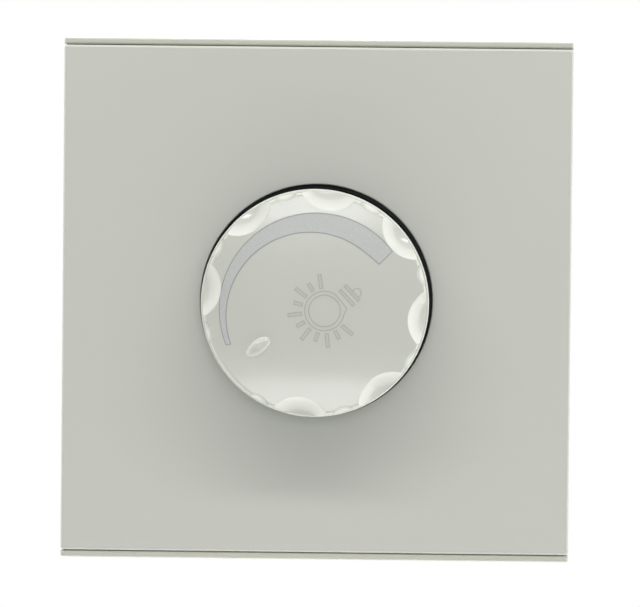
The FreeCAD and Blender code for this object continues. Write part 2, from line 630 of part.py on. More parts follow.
def make_knob_cap():
    """Moulded cap: a crowned disc on a thin rim, with ball-cut scallops and notches and a pointer pip."""
    body = new_body("Cap")
    rim = "(knob_diameter / 2)"
    shoulder = "(knob_diameter / 2 - cap_flange_width)"
    flange_top = f"({CAP_SEAT} + cap_flange_height)"
    recess_top = f"({CAP_SEAT} + cap_recess_depth)"
    turned(body, "CapProfile", [("0", recess_top), (CAP_RECESS_RADIUS, recess_top),
                                (CAP_RECESS_RADIUS, CAP_SEAT), (rim, CAP_SEAT), (rim, flange_top),
                                (shoulder, flange_top), (shoulder, CAP_SHOULDER),
                                ("crown_flat / 2", KNOB_TOP), ("0", KNOB_TOP)],
           crowned=True)
    doc.recompute()
    top = body.Shape.BoundBox.ZMax
    round_edges(body, "cap_edge_radius", is_level_at(top - sheet.cap_crown))
    flange = top - sheet.cap_height + sheet.cap_flange_height
    round_edges(body, f"min(cap_flange_radius; {EDGE_SHARE} * cap_flange_width)",
                lambda box: is_level_at(flange)(box) and abs(box.XLength - sheet.knob_diameter) < NEAR)
    step = "360 / (scallop_count + 1)"
    count = int(sheet.scallop_count)
    scallops = [edge_ball(f"Scallop{index}", "scallop", f"{index} * {step}")
                for index in range(1, count + 1)]
    notches = [edge_ball(f"Notch{index}", "notch", f"{index} * {step} + {step} / 2")
               for index in range(count + 1)]
    pip = doc.addObject("Part::Ellipsoid", "PointerPip")
    bind(pip, Radius1="2 * pip_height", Radius2="pip_length / sqrt(3)", Radius3="pip_width / sqrt(3)")
    fall = f"cap_crown * (pip_distance / {shoulder}) ^ 2"
    set_by_pointer(pip, "pip_distance", f"{KNOB_TOP} - {fall} - pip_height", "0")
    scalloped = cut("CapScalloped", body, scallops)
    notched = cut("CapNotched", scalloped, notches)
    piece("knob_cap", joined("CapPipped", [notched, pip]))


def edge_ball(name, stem, turn):
    """A ball that hollows the edge of the cap, with a given reach at the shoulder."""
    ball = doc.addObject("Part::Sphere", name)
    bind(ball, Radius=f"{stem}_radius")
    distance = f"(knob_diameter / 2 + sqrt({stem}_radius ^ 2 - {stem}_lift ^ 2) - {stem}_reach)"
    set_by_pointer(ball, distance, f"{CAP_SHOULDER} + {stem}_lift", turn)
    return ball


def set_by_pointer(feature, distance, out, turn):
    """Set a feature at a distance from the axis and an angle from the pointer."""
    angle = f"(pointer_angle + {turn}) * 1 deg"
    feature.setExpression("Placement.Rotation.Angle", size(angle))
    feature.setExpression("Placement.Base.x", size(f"{distance} * cos({angle})"))
    feature.setExpression("Placement.Base.y", size(f"{distance} * sin({angle})"))
    feature.setExpression("Placement.Base.z", size(out))


def make_knob_body():
    """Moulded lower knob: skirt, disc with a spigot for the cap, ribs and a hub with a D bore."""
    body = new_body("KnobBody")
    skirt_foot = f"({DECK} + skirt_gap)"
    skirt_inside = f"({SKIRT_RADIUS} - knob_wall)"
    spigot = f"({CAP_RECESS_RADIUS} - spigot_clearance)"
    spigot_top = f"({CAP_SEAT} + cap_recess_depth - spigot_clearance)"
    turned(body, "KnobProfile", [("0", WEB_BACK), (skirt_inside, WEB_BACK), (skirt_inside, skirt_foot),
                                 (SKIRT_RADIUS, skirt_foot), (SKIRT_RADIUS, CAP_SEAT), (spigot, CAP_SEAT),
                                 (spigot, spigot_top), ("0", spigot_top)])
    hub = sketch_on(body, "KnobHub", HUB_FOOT)
    circle(hub, "hub_diameter")
    pad(body, hub, f"{WEB_BACK} - {HUB_FOOT} + knob_web / 2")
    rib = sketch_on(body, "HubRib", f"{WEB_BACK} - hub_rib_height")
    rectangle(rib, "(hub_diameter + shaft_diameter) / 4", "-hub_rib_thickness / 2",
              f"{SKIRT_RADIUS} - knob_wall / 2", "hub_rib_thickness / 2")
    pad(body, rib, "hub_rib_height + knob_web / 2")
    repeat_round(body, body.Tip, "360", "hub_rib_count")
    bore = sketch_on(body, "HubBore", HUB_FOOT)
    d_shape(bore, "shaft_diameter / 2 + hub_clearance", f"{SHAFT_FLAT} + hub_clearance")
    pocket(body, bore, f"{WEB_BACK} - {HUB_FOOT}", along_normal=True)
    piece("knob_body", body)


# The potentiometer

def make_pot_bushing():
    """Turned bushing on a round base plate."""
    body = new_body("Bushing")
    bore = "(shaft_diameter / 2 + shaft_clearance)"
    tip = f"({SEAT} + bushing_length)"
    turned(body, "BushingProfile", [(bore, BASE_BACK), ("pot_diameter / 2", BASE_BACK),
                                    ("pot_diameter / 2", SEAT), ("bushing_diameter / 2", SEAT),
                                    ("bushing_diameter / 2", tip), (bore, tip)])
    piece("pot_bushing", body)


def make_pot_shaft():
    """Turned shaft with a collar, a stepped end in the rotor and a flat for the knob."""
    body = new_body("Shaft")
    tip = f"({WEB_BACK} - shaft_tip_gap)"
    collar_front = f"({BASE_BACK} - shaft_endplay)"
    step = "spigot_diameter / 2"
    collar = "shaft_collar_diameter / 2"
    radius = "shaft_diameter / 2"
    turned(body, "ShaftProfile", [("0", ROTOR_BACK), (step, ROTOR_BACK), (step, COLLAR_BACK),
                                  (collar, COLLAR_BACK), (collar, collar_front), (radius, collar_front),
                                  (radius, tip), ("0", tip)])
    flat = sketch_on(body, "ShaftFlat", tip)
    rectangle(flat, "-shaft_diameter", SHAFT_FLAT, "shaft_diameter", "shaft_diameter")
    pocket(body, flat, f"{tip} - {HUB_FOOT} + shaft_flat_runout")
    piece("pot_shaft", body)


def make_pot_rotor():
    """Insulating rotor on the shaft, and the brass leaf across its back."""
    body = new_body("Rotor")
    hole = "(spigot_diameter / 2 + rotor_clearance)"
    turned(body, "RotorProfile", [(hole, ROTOR_BACK), ("rotor_diameter / 2", ROTOR_BACK),
                                  ("rotor_diameter / 2", COLLAR_BACK), (hole, COLLAR_BACK)])
    piece("pot_rotor", body)
    leaf = new_body("Leaf")
    strip = sketch_on(leaf, "LeafStrip", ROTOR_BACK)
    centred(strip, "(wiper_length / 2)", "(wiper_width / 2)")
    pad(leaf, strip, "wiper_thickness", inwards=True)
    piece("pot_wiper", leaf)


def pin_places():
    """Formulas for the place of each pin along its row."""
    return [f"({index} - (pin_count - 1) / 2) * pin_pitch" for index in range(int(sheet.pin_count))]


def make_pot_can():
    """Drawn steel can with holes for the pins, the track wafer in it and the pins through its back."""
    body = new_body("Can")
    inside_back = f"({CAN_BACK} + can_wall)"
    outside = "pot_diameter / 2"
    turned(body, "CanProfile", [("0", CAN_BACK), (outside, CAN_BACK), (outside, BASE_BACK),
                                (CAN_INSIDE, BASE_BACK), (CAN_INSIDE, inside_back), ("0", inside_back)])
    holes = sketch_on(body, "CanHoles", CAN_BACK)
    for place in pin_places():
        circle(holes, "pin_diameter + 2 * pin_clearance", place, "-pin_offset")
    pocket(body, holes, "can_wall", along_normal=True)
    piece("pot_can", body)
    wafer = new_body("Wafer")
    disc = sketch_on(wafer, "WaferDisc", inside_back)
    circle(disc, f"2 * ({CAN_INSIDE} - wafer_clearance)")
    pad(wafer, disc, f"{ROTOR_BACK} - wiper_thickness - wiper_gap - {inside_back}")
    piece("pot_wafer", wafer)
    length = f"{inside_back} - {BOARD_BACK} + pin_stickout"
    start = f"{BOARD_BACK} - pin_stickout"
    pins = [rod(f"Pin{index}", "pin_diameter", length, (place, "-pin_offset", start))
            for index, place in enumerate(pin_places())]
    piece("pot_pins", group("Pins", pins))


def make_pot_fastening():
    """Washer and hexagon nut on the bushing, in front of the frame."""
    washer = new_body("Washer")
    ring = sketch_on(washer, "WasherRing", DECK)
    circle(ring, "washer_diameter")
    circle(ring, "bushing_diameter + 2 * bushing_clearance")
    pad(washer, ring, "washer_thickness")
    piece("pot_washer", washer)
    nut = new_body("Nut")
    hexagon(nut, "NutHexagon", f"{DECK} + washer_thickness", "nut_across",
            "bushing_diameter + 2 * bushing_clearance", "nut_height")
    piece("pot_nut", nut)


def hexagon(body, name, out, across, hole, height):
    """Pad a hexagon nut about the z axis."""
    sketch = sketch_on(body, name, out)
    point = f"({across} / sqrt(3))"
    half = f"({across} / 2)"
    outline(sketch, [(point, "0"), (f"{point} / 2", half), (f"-{point} / 2", half),
                     (f"-{point}", "0"), (f"-{point} / 2", f"-{half}"), (f"{point} / 2", f"-{half}")])
    circle(sketch, hole)
    pad(body, sketch, height)


# The rear housing

def make_rear_housing():
    """Moulded box: screw bosses in its corners, board ledges, vent slots and openings for the terminals."""
    body = new_body("Housing")
    side = "(housing_width / 2)"
    end = "(housing_height / 2)"
    shell = sketch_on(body, "HousingShell", SEAT)
    centred(shell, side, end)
    pad(body, shell, "housing_depth", inwards=True)
    round_edges(body, "housing_corner_radius", is_upright)
    doc.recompute()
    on_back = is_level_at(body.Shape.BoundBox.ZMin)
    round_edges(body, f"min(housing_back_radius; {EDGE_SHARE} * housing_wall)", on_back)
    hollow = sketch_on(body, "HousingHollow", SEAT)
    centred(hollow, f"({side} - housing_wall)", f"({end} - housing_wall)")
    pocket(body, hollow, "housing_depth - housing_wall")
    ledges = sketch_on(body, "BoardLedges", HOUSING_FLOOR)
    for sign in ("", "-"):
        rectangle(ledges, f"{sign}({side} - housing_wall - ledge_width)", "-ledge_length / 2",
                  f"{sign}({side} - housing_wall / 2)", "ledge_length / 2")
    pad(body, ledges, f"{BOARD_BACK} - {HOUSING_FLOOR}")
    bosses = sketch_on(body, "HousingBosses", HOUSING_FLOOR)
    shanks = sketch_on(body, "ScrewHoles", HOUSING_BACK)
    heads = sketch_on(body, "ScrewCounterbores", HOUSING_BACK)
    for across, upright in FOUR_SIGNS:
        place = (f"{across}{SCREW_RIGHT}", f"{upright}{SCREW_UP}")
        circle(bosses, "screw_head_diameter + 2 * screw_head_clearance + boss_wall", *place)
        circle(shanks, "screw_diameter + 2 * screw_clearance", *place)
        circle(heads, "screw_head_diameter + 2 * screw_head_clearance", *place)
    pad(body, bosses, f"{SEAT} - {HOUSING_FLOOR}")
    pocket(body, shanks, THROUGH, along_normal=True)
    pocket(body, heads, "screw_head_sink", along_normal=True)
    vents = sketch_on(body, "VentSlots", plane="XZ_Plane")
    for index in range(int(sheet.vent_count)):
        middle = f"({index} - (vent_count - 1) / 2) * vent_pitch"
        rectangle(vents, f"{middle} - vent_width / 2", f"{SEAT} - vent_start - vent_length",
                  f"{middle} + vent_width / 2", f"{SEAT} - vent_start")
    pocket(body, vents, THROUGH)
    mouth = sketch_on(body, "TerminalMouth", plane="XZ_Plane")
    rectangle(mouth, "-pole_pitch - mouth_clearance", f"{CAGE_BACK} - mouth_clearance",
              "pole_pitch + mouth_clearance", f"{BOARD_BACK} - cage_lift + mouth_clearance")
    pocket(body, mouth, THROUGH, along_normal=True)
    wells = sketch_on(body, "ClampAccess", HOUSING_BACK)
    for sign in ("", "-"):
        circle(wells, "clamp_head_diameter + 2 * clamp_well_clearance", f"{sign}pole_pitch / 2", CLAMP_UP)
    pocket(body, wells, "housing_wall", along_normal=True)
    piece("rear_housing", body)


def make_housing_screws():
    """Four pan head screws from the back of the housing into the frame."""
    tip = f"{DECK} + boss_height - boss_cap - pilot_clearance"
    screws = []
    for index, (across, upright) in enumerate(FOUR_SIGNS):
        x = f"{across}{SCREW_RIGHT}"
        y = f"{upright}{SCREW_UP}"
        head_back = f"{SCREW_SEAT} - screw_head_height"
        head = rod(f"ScrewHead{index}", "screw_head_diameter", "screw_head_height", (x, y, head_back))
        shank = rod(f"ScrewShank{index}", "screw_diameter", f"{tip} - {SCREW_SEAT}", (x, y, SCREW_SEAT))
        long_arm = block(f"DriveAcross{index}",
                         (f"{x} - drive_length / 2", f"{y} - drive_width / 2", head_back),
                         ("drive_length", "drive_width", "drive_depth"))
        short_arm = block(f"DriveUp{index}",
                          (f"{x} - drive_width / 2", f"{y} - drive_length / 2", head_back),
                          ("drive_width", "drive_length", "drive_depth"))
        blank = joined(f"ScrewBlank{index}", [head, shank])
        screws.append(cut(f"Screw{index}", blank, [long_arm, short_arm]))
    piece("housing_screws", group("Screws", screws))


# The circuit board and what stands on it

def make_circuit_board():
    """Board with its corners cut round the screw bosses and holes for the pins."""
    body = new_body("Board")
    plan = sketch_on(body, "BoardPlan", BOARD_BACK)
    boss = "((screw_head_diameter + boss_wall) / 2 + screw_head_clearance + board_clearance)"
    notch_side = f"({SCREW_RIGHT} - {boss})"
    notch_end = f"({SCREW_UP} - {boss})"
    outline(plan, [(BOARD_SIDE, f"-{notch_end}"), (BOARD_SIDE, notch_end), (notch_side, notch_end),
                   (notch_side, BOARD_END), (f"-{notch_side}", BOARD_END), (f"-{notch_side}", notch_end),
                   (f"-{BOARD_SIDE}", notch_end), (f"-{BOARD_SIDE}", f"-{notch_end}"),
                   (f"-{notch_side}", f"-{notch_end}"), (f"-{notch_side}", f"-{BOARD_END}"),
                   (notch_side, f"-{BOARD_END}"), (notch_side, f"-{notch_end}")])
    pad(body, plan, "board_thickness")
    holes = sketch_on(body, "PinHoles", BOARD_BACK)
    for place in pin_places():
        circle(holes, "pin_diameter + 2 * pin_clearance", place, "-pin_offset")
    pocket(body, holes, "board_thickness", along_normal=True)
    piece("circuit_board", body)


def make_capacitors():
    """Filter capacitor and timing capacitor."""
    boxed_capacitor("filter_capacitor", "Filter", "capacitor")
    boxed_capacitor("timing_capacitor", "Timing", "timing")


def boxed_capacitor(label, name, stem):
    """Moulded box capacitor, standing on the back of the board."""
    body = new_body(name)
    plan = sketch_on(body, f"{name}Plan")
    centred(plan, f"({stem}_length / 2)", f"({stem}_width / 2)")
    pad(body, plan, f"{stem}_height", inwards=True)
    doc.recompute()
    far_end = is_level_at(body.Shape.BoundBox.ZMin)
    round_edges(body, "capacitor_radius", lambda box: far_end(box) or is_upright(box))
    piece(label, body, f"-({BOARD_SIDE} - {stem}_inset - {stem}_length / 2)", f"{stem}_up", BOARD_BACK)


def make_choke():
    """Ring core lying on the board with one layer of wire round most of it."""
    core = new_body("Core")
    bottom = "winding_thickness + winding_clearance"
    right = f"{BOARD_SIDE} - choke_inset - core_diameter / 2 - ({bottom})"
    top = f"{bottom} + core_height"
    turned(core, "CoreProfile", [("core_hole / 2", f"-({top})"), ("core_diameter / 2", f"-({top})"),
                                 ("core_diameter / 2", f"-({bottom})"), ("core_hole / 2", f"-({bottom})")])
    piece("choke_core", core, right, "choke_up", BOARD_BACK)
    wire = new_body("Winding")
    profile = sketch_on(wire, "WindingProfile", plane="XZ_Plane")
    for gap, low, high in (("winding_clearance + winding_thickness", f"-({top} + {bottom})", "0"),
                           ("winding_clearance", f"-({top} + winding_clearance)", "-winding_thickness")):
        inner = f"core_hole / 2 - ({gap})"
        outer = f"core_diameter / 2 + {gap}"
        rectangle(profile, inner, low, outer, high)
    revolve(wire, profile, "winding_sweep")
    piece("choke_winding", wire, right, "choke_up", BOARD_BACK)


def make_triac():
    """Flat triac screwed to an angled heat sink that stands on the board."""
    hole_out = "-(triac_lift + triac_height - triac_hole_drop)"
    case = block("TriacCase", ("-triac_width / 2", "-triac_thickness", "-triac_lift - triac_height"),
                 ("triac_width", "triac_thickness", "triac_height"))
    legs = [block(f"TriacLeg{index}",
                  (f"({index} - (lead_count - 1) / 2) * lead_pitch - lead_width / 2",
                   "-(triac_thickness + lead_width) / 2", "-triac_lift"),
                  ("lead_width", "lead_width", "triac_lift"))
            for index in range(int(sheet.lead_count))]
    drill = rod("TriacDrill", "triac_hole", "triac_thickness", ("0", "-triac_thickness", hole_out), (0, 1, 0))
    triac = cut("Triac", joined("TriacBlank", [case] + legs), [drill])
    piece("triac", triac, "0", TRIAC_UP, BOARD_BACK)
    plate = block("SinkPlate", ("-sink_width / 2", "0", "-sink_height"),
                  ("sink_width", "sink_thickness", "sink_height"))
    foot = block("SinkFoot", ("-sink_width / 2", "0", "-sink_thickness"),
                 ("sink_width", "sink_foot", "sink_thickness"))
    through = rod("SinkDrill", "triac_hole", "sink_thickness", ("0", "0", hole_out), (0, 1, 0))
    sink = cut("Sink", joined("SinkBlank", [plate, foot]), [through])
    piece("heat_sink", sink, "0", TRIAC_UP, BOARD_BACK)
    grip = "triac_thickness + sink_thickness + bolt_nut_height + bolt_end"
    head = rod("BoltHead", "bolt_head_diameter", "bolt_head_height",
               ("0", "-triac_thickness - bolt_head_height", hole_out), (0, 1, 0))
    shank = rod("BoltShank", "bolt_diameter", grip, ("0", "-triac_thickness", hole_out), (0, 1, 0))
    piece("triac_screw", joined("Bolt", [head, shank]), "0", TRIAC_UP, BOARD_BACK)
    nut = new_body("BoltNut")
    hexagon(nut, "BoltNutHexagon", "0", "bolt_nut_across", "bolt_diameter + 2 * bolt_clearance",
            "bolt_nut_height")
    piece("triac_nut", nut, "0", f"{TRIAC_UP} + sink_thickness", f"{BOARD_BACK} + {hole_out}", turn=LEVEL)


def axial_part(name, diameter, length, up):
    """Round body with bent wire legs, lying along x on the back of the board."""
    axis_out = f"-({diameter}) / 2"
    reach = f"({length} / 2 + wire_overhang)"
    barrel = rod(f"{name}Barrel", diameter, length, (f"-{length} / 2", up, axis_out), (1, 0, 0))
    wire = rod(f"{name}Wire", "wire_diameter", f"2 * {reach}", (f"-{reach}", up, axis_out), (1, 0, 0))
    legs = [rod(f"{name}Leg{index}", "wire_diameter", f"({diameter}) / 2", (f"{sign}{reach}", up, axis_out))
            for index, sign in enumerate(("", "-"))]
    return joined(name, [barrel, wire] + legs)


def make_axial_parts():
    """Diac and resistors."""
    diac = axial_part("Diac", "diac_diameter", "diac_length", "0")
    diac_right = f"-({BOARD_SIDE} - diac_inset - wire_overhang - diac_length / 2)"
    piece("diac", diac, diac_right, "diac_up", BOARD_BACK)
    pair = [axial_part(f"Resistor{index}", "resistor_diameter", "resistor_length",
                       f"-{index} * resistor_pitch")
            for index in range(int(sheet.resistor_count))]
    pair_right = f"{BOARD_SIDE} - resistor_inset - wire_overhang - resistor_length / 2"
    piece("resistors", group("Resistors", pair), pair_right, "resistor_up", BOARD_BACK)


def make_fuse():
    """Glass fuse with metal end caps, held in two brass clips."""
    along = (1, 0, 0)
    glass = rod("FuseGlass", "fuse_glass_diameter", "fuse_length",
                ("-fuse_length / 2", "0", "-fuse_lift"), along)
    starts = ("-fuse_length / 2", "fuse_length / 2 - fuse_cap_length")
    caps = [rod(f"FuseCap{index}", "fuse_diameter", "fuse_cap_length", (start, "0", "-fuse_lift"), along)
            for index, start in enumerate(starts)]
    side = "(fuse_diameter / 2 + clip_clearance + clip_wall)"
    right = f"-({BOARD_SIDE} - fuse_inset - fuse_length / 2)"
    up = f"{BLOCK_FOOT} + block_depth + fuse_gap + {side}"
    piece("fuse", joined("Fuse", [glass] + caps), right, up, BOARD_BACK)
    height = "(fuse_lift + clip_grip)"
    clips = []
    for index, start in enumerate(starts):
        middle = f"{start} + (fuse_cap_length - clip_length) / 2"
        blank = block(f"ClipBlank{index}", (middle, f"-{side}", f"-{height}"),
                      ("clip_length", f"2 * {side}", height))
        barrel = rod(f"ClipBore{index}", "fuse_diameter + 2 * clip_clearance", "clip_length",
                     (middle, "0", "-fuse_lift"), along)
        clips.append(cut(f"Clip{index}", blank, [barrel]))
    piece("fuse_clips", group("Clips", clips), right, up, BOARD_BACK)


# The wiring terminals

def make_terminals():
    """Two-pole terminal block with a brass cage and a clamp screw in each pole."""
    well = "clamp_head_diameter + 2 * clamp_well_clearance"
    cavities = []
    cages = []
    screws = []
    for index, sign in enumerate(("-", "")):
        pole = f"{sign}pole_pitch / 2"
        cavities.append(block(f"Cavity{index}", (f"{pole} - cage_width / 2 - cage_clearance", BLOCK_FOOT,
                                                 f"{CAGE_BACK} - cage_clearance"),
                              ("cage_width + 2 * cage_clearance", "cage_inset + cage_depth + cage_clearance",
                               "cage_height + 2 * cage_clearance")))
        cavities.append(rod(f"Well{index}", well, f"{CAGE_BACK} - {BLOCK_BACK}",
                            (pole, CLAMP_UP, BLOCK_BACK)))
        cage = block(f"CageBlank{index}",
                     (f"{pole} - cage_width / 2", f"{BLOCK_FOOT} + cage_inset", CAGE_BACK),
                     ("cage_width", "cage_depth", "cage_height"))
        tunnel = block(f"CageTunnel{index}", (f"{pole} - cage_width / 2 + cage_wall",
                                              f"{BLOCK_FOOT} + cage_inset", f"{CAGE_BACK} + cage_wall"),
                       ("cage_width - 2 * cage_wall", "cage_depth", "cage_height - 2 * cage_wall"))
        thread = rod(f"CageThread{index}", "clamp_diameter + 2 * clamp_clearance", "cage_wall",
                     (pole, CLAMP_UP, CAGE_BACK))
        cages.append(cut(f"Cage{index}", cage, [tunnel, thread]))
        head_front = f"{CAGE_BACK} - clamp_standoff"
        shank = rod(f"ClampShank{index}", "clamp_diameter", "clamp_standoff + cage_wall + clamp_reach",
                    (pole, CLAMP_UP, head_front))
        head = rod(f"ClampHead{index}", "clamp_head_diameter", "clamp_head_height",
                   (pole, CLAMP_UP, f"{head_front} - clamp_head_height"))
        groove = block(f"ClampGroove{index}",
                       (f"{pole} - clamp_head_diameter / 2", f"{CLAMP_UP} - drive_width / 2",
                        f"{head_front} - clamp_head_height"),
                       ("clamp_head_diameter", "drive_width", "drive_depth"))
        screws.append(cut(f"Clamp{index}", joined(f"ClampBlank{index}", [shank, head]), [groove]))
    base = block("TerminalBase", ("-pole_pitch", BLOCK_FOOT, BLOCK_BACK),
                 ("2 * pole_pitch", "block_depth", "block_height"))
    piece("terminal_block", cut("Terminal", base, cavities))
    piece("terminal_cages", group("Cages", cages))
    piece("terminal_screws", group("Clamps", screws))


for make in (make_front_panel, make_mounting_frame, make_knob_cap, make_knob_body, make_pot_bushing,
             make_pot_shaft, make_pot_rotor, make_pot_can, make_pot_fastening, make_rear_housing,
             make_housing_screws, make_circuit_board, make_capacitors, make_choke, make_triac,
             make_axial_parts, make_fuse, make_terminals):
    make()
doc.recompute()

for item in doc.Objects:
    if "Invalid" in item.State or "Error" in item.State:
        raise RuntimeError(f"{item.Label} failed: {item.State}")
for item in pieces:
    if item.Shape.isNull() or not item.Shape.isValid():
        raise RuntimeError(f"{item.Label} has no valid shape")
os.makedirs("parts", exist_ok=True)
for item in pieces:
    item.Shape.exportStep(os.path.join("parts", f"{item.Label}.step"))
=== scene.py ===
"""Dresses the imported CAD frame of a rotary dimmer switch: finishes, print, inner detail and a studio."""

import math

import bmesh
import bpy
from bpy.props import FloatProperty, FloatVectorProperty, IntProperty, PointerProperty
from bpy.types import Operator, Panel, PropertyGroup
from mathutils import Color, Matrix, Vector
from mathutils.bvhtree import BVHTree


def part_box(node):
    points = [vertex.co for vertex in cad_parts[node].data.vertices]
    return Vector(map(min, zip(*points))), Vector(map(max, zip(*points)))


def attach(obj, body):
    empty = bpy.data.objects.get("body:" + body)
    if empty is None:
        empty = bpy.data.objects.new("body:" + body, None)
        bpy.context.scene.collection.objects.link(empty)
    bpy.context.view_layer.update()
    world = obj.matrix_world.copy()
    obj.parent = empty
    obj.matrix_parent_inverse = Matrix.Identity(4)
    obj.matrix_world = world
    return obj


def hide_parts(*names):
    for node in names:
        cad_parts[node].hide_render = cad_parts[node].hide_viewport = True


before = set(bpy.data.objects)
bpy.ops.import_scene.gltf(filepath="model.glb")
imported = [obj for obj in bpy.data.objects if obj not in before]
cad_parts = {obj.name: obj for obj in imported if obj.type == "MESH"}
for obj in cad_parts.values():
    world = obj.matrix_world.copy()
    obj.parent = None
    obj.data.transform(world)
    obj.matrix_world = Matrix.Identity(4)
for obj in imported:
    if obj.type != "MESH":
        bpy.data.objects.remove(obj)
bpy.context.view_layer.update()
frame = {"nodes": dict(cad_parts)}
NODES = frame["nodes"]

bl_info = {
    "name": "Rotary dimmer switch",
    "version": (1, 0, 0),
    "blender": (4, 5, 0),
    "location": "View3D > Sidebar > Dimmer",
    "description": "Finishes, print and studio for the CAD frame of a rotary dimmer switch",
    "category": "Object",
}

MM = 0.001
# Vertices closer than this are one vertex, and edges sharper than this angle stay sharp
MERGE = 0.001 * MM
SHARP = math.radians(35)
# Radius round the knob's axis inside which the frame is painted black: painted shade at the bottom of the
# deep gap round the knob
SHADED_WELL_RADIUS = 20.4 * MM
# Turns the drawing plane of the print, x right and y up, to face the front
UPRIGHT = Matrix.Rotation(math.pi / 2, 4, "X")
# Slot of the material inside a printed outline; the outline has the first slot
FILL = 1
# How far before the cap the rays start that lay print on it
RAY_LEAD = 1.0 * MM
# Faces along a bend of the choke's wire
BEND_STEPS = 4


def display(red, green, blue):
    """Linear colour of an 8-bit display colour."""
    linear = Color((red / 255, green / 255, blue / 255)).from_srgb_to_scene_linear()
    return (*linear, 1.0)


def colour(name, description, red, green, blue):
    """A colour property with a display colour as its default."""
    return FloatVectorProperty(name=name, description=description, default=display(red, green, blue),
                               size=4, min=0.0, max=1.0, subtype="COLOR")


def length(name, description, millimetres):
    """A length property with its default in millimetres."""
    return FloatProperty(name=name, description=description, default=millimetres * MM, unit="LENGTH")


def point(name, description, x, y):
    """A point of the print, from the knob's axis, with its default in millimetres."""
    return FloatVectorProperty(name=name, description=description, default=(x * MM, y * MM), size=2,
                               unit="LENGTH")


def angle(name, description, degrees):
    """An angle property with its default in degrees."""
    return FloatProperty(name=name, description=description, default=math.radians(degrees), subtype="ANGLE")


def power(name, description, watts):
    """A lamp's power."""
    return FloatProperty(name=name, description=description, default=watts, min=0.0, unit="POWER")


# Sizes and colours that a user would change

class DimmerColours(PropertyGroup):
    """Colours of the finishes."""
    plate: colour("Plate", "Light-grey clip-on panel", 207, 209, 200)
    frame: colour("Frame", "Frame behind the panel, a little yellower", 205, 205, 192)
    knob: colour("Knob cap", "Light-grey cap of the knob", 208, 210, 200)
    lower_knob: colour("Lower knob", "Black part under the cap", 18, 26, 30)
    housing: colour("Housing", "Black rear housing", 30, 31, 33)
    steel: colour("Plated steel", "Screws, nuts, washer and can", 186, 186, 182)
    zinc: colour("Zinc casting", "Bushing of the potentiometer", 150, 153, 158)
    brass: colour("Brass", "Pins, clips, cages and nut", 214, 178, 104)
    aluminium: colour("Aluminium", "Heat sink and shaft", 206, 207, 209)
    laminate: colour("Laminate", "Green coat of the circuit board", 22, 92, 52)
    phenolic: colour("Phenolic", "Brown insulating board", 128, 82, 44)
    package: colour("Package", "Black moulded case of the triac", 34, 34, 36)
    film_case: colour("Filter capacitor", "Yellow capacitor case", 222, 176, 40)
    dipped: colour("Timing capacitor", "Red dipped capacitor", 128, 30, 22)
    ferrite: colour("Core", "Dark ferrite core", 58, 58, 60)
    copper: colour("Copper", "Enamelled wire", 196, 104, 52)
    resistor: colour("Resistor", "Beige lacquer", 206, 184, 142)
    diac: colour("Diac", "Blue glass body", 58, 84, 140)
    terminal: colour("Terminals", "Green terminal block", 42, 110, 70)
    glass: colour("Glass", "Tube of the fuse", 236, 240, 240)
    scale_line: colour("Scale line", "Outline of the dimming scale", 160, 162, 160)
    scale_fill: colour("Scale fill", "Inside of the dimming scale", 198, 201, 198)
    sign_line: colour("Sign line", "Lines of the lamp sign", 178, 180, 171)
    sign_fill: colour("Sign fill", "Inside of the lamp sign's rays", 198, 200, 192)


class DimmerScale(PropertyGroup):
    """The printed wedge that shows how the light rises."""
    outer_radius: length("Outer radius", "Circle of the outer side", 16.19)
    outer_centre: point("Outer centre", "Centre of the outer circle", 0.21, -0.94)
    outer_start: angle("Outer start", "Narrow end of the outer side, seen from the axis", 205.8)
    outer_end: angle("Outer end", "Wide end of the outer side, seen from the axis", 34.4)
    inner_radius: length("Inner radius", "Circle of the inner side", 13.98)
    inner_centre: point("Inner centre", "Centre of the inner circle", -0.70, -2.10)
    inner_start: angle("Inner start", "Narrow end of the inner side, seen from the axis", 206.7)
    inner_end: angle("Inner end", "Wide end of the inner side, seen from the axis", 31.6)
    flare: length("Flare", "How far the inner side runs out of its circle at the wide end", 0.45)
    flare_power: IntProperty(name="Flare power", description="How late that happens", default=24, min=1)
    line: length("Line", "Width of the outline", 0.17)
    steps: IntProperty(name="Steps", description="Faces along the wedge", default=96, min=12)
    film: length("Film", "How far the ink stands proud of the cap", 0.03)


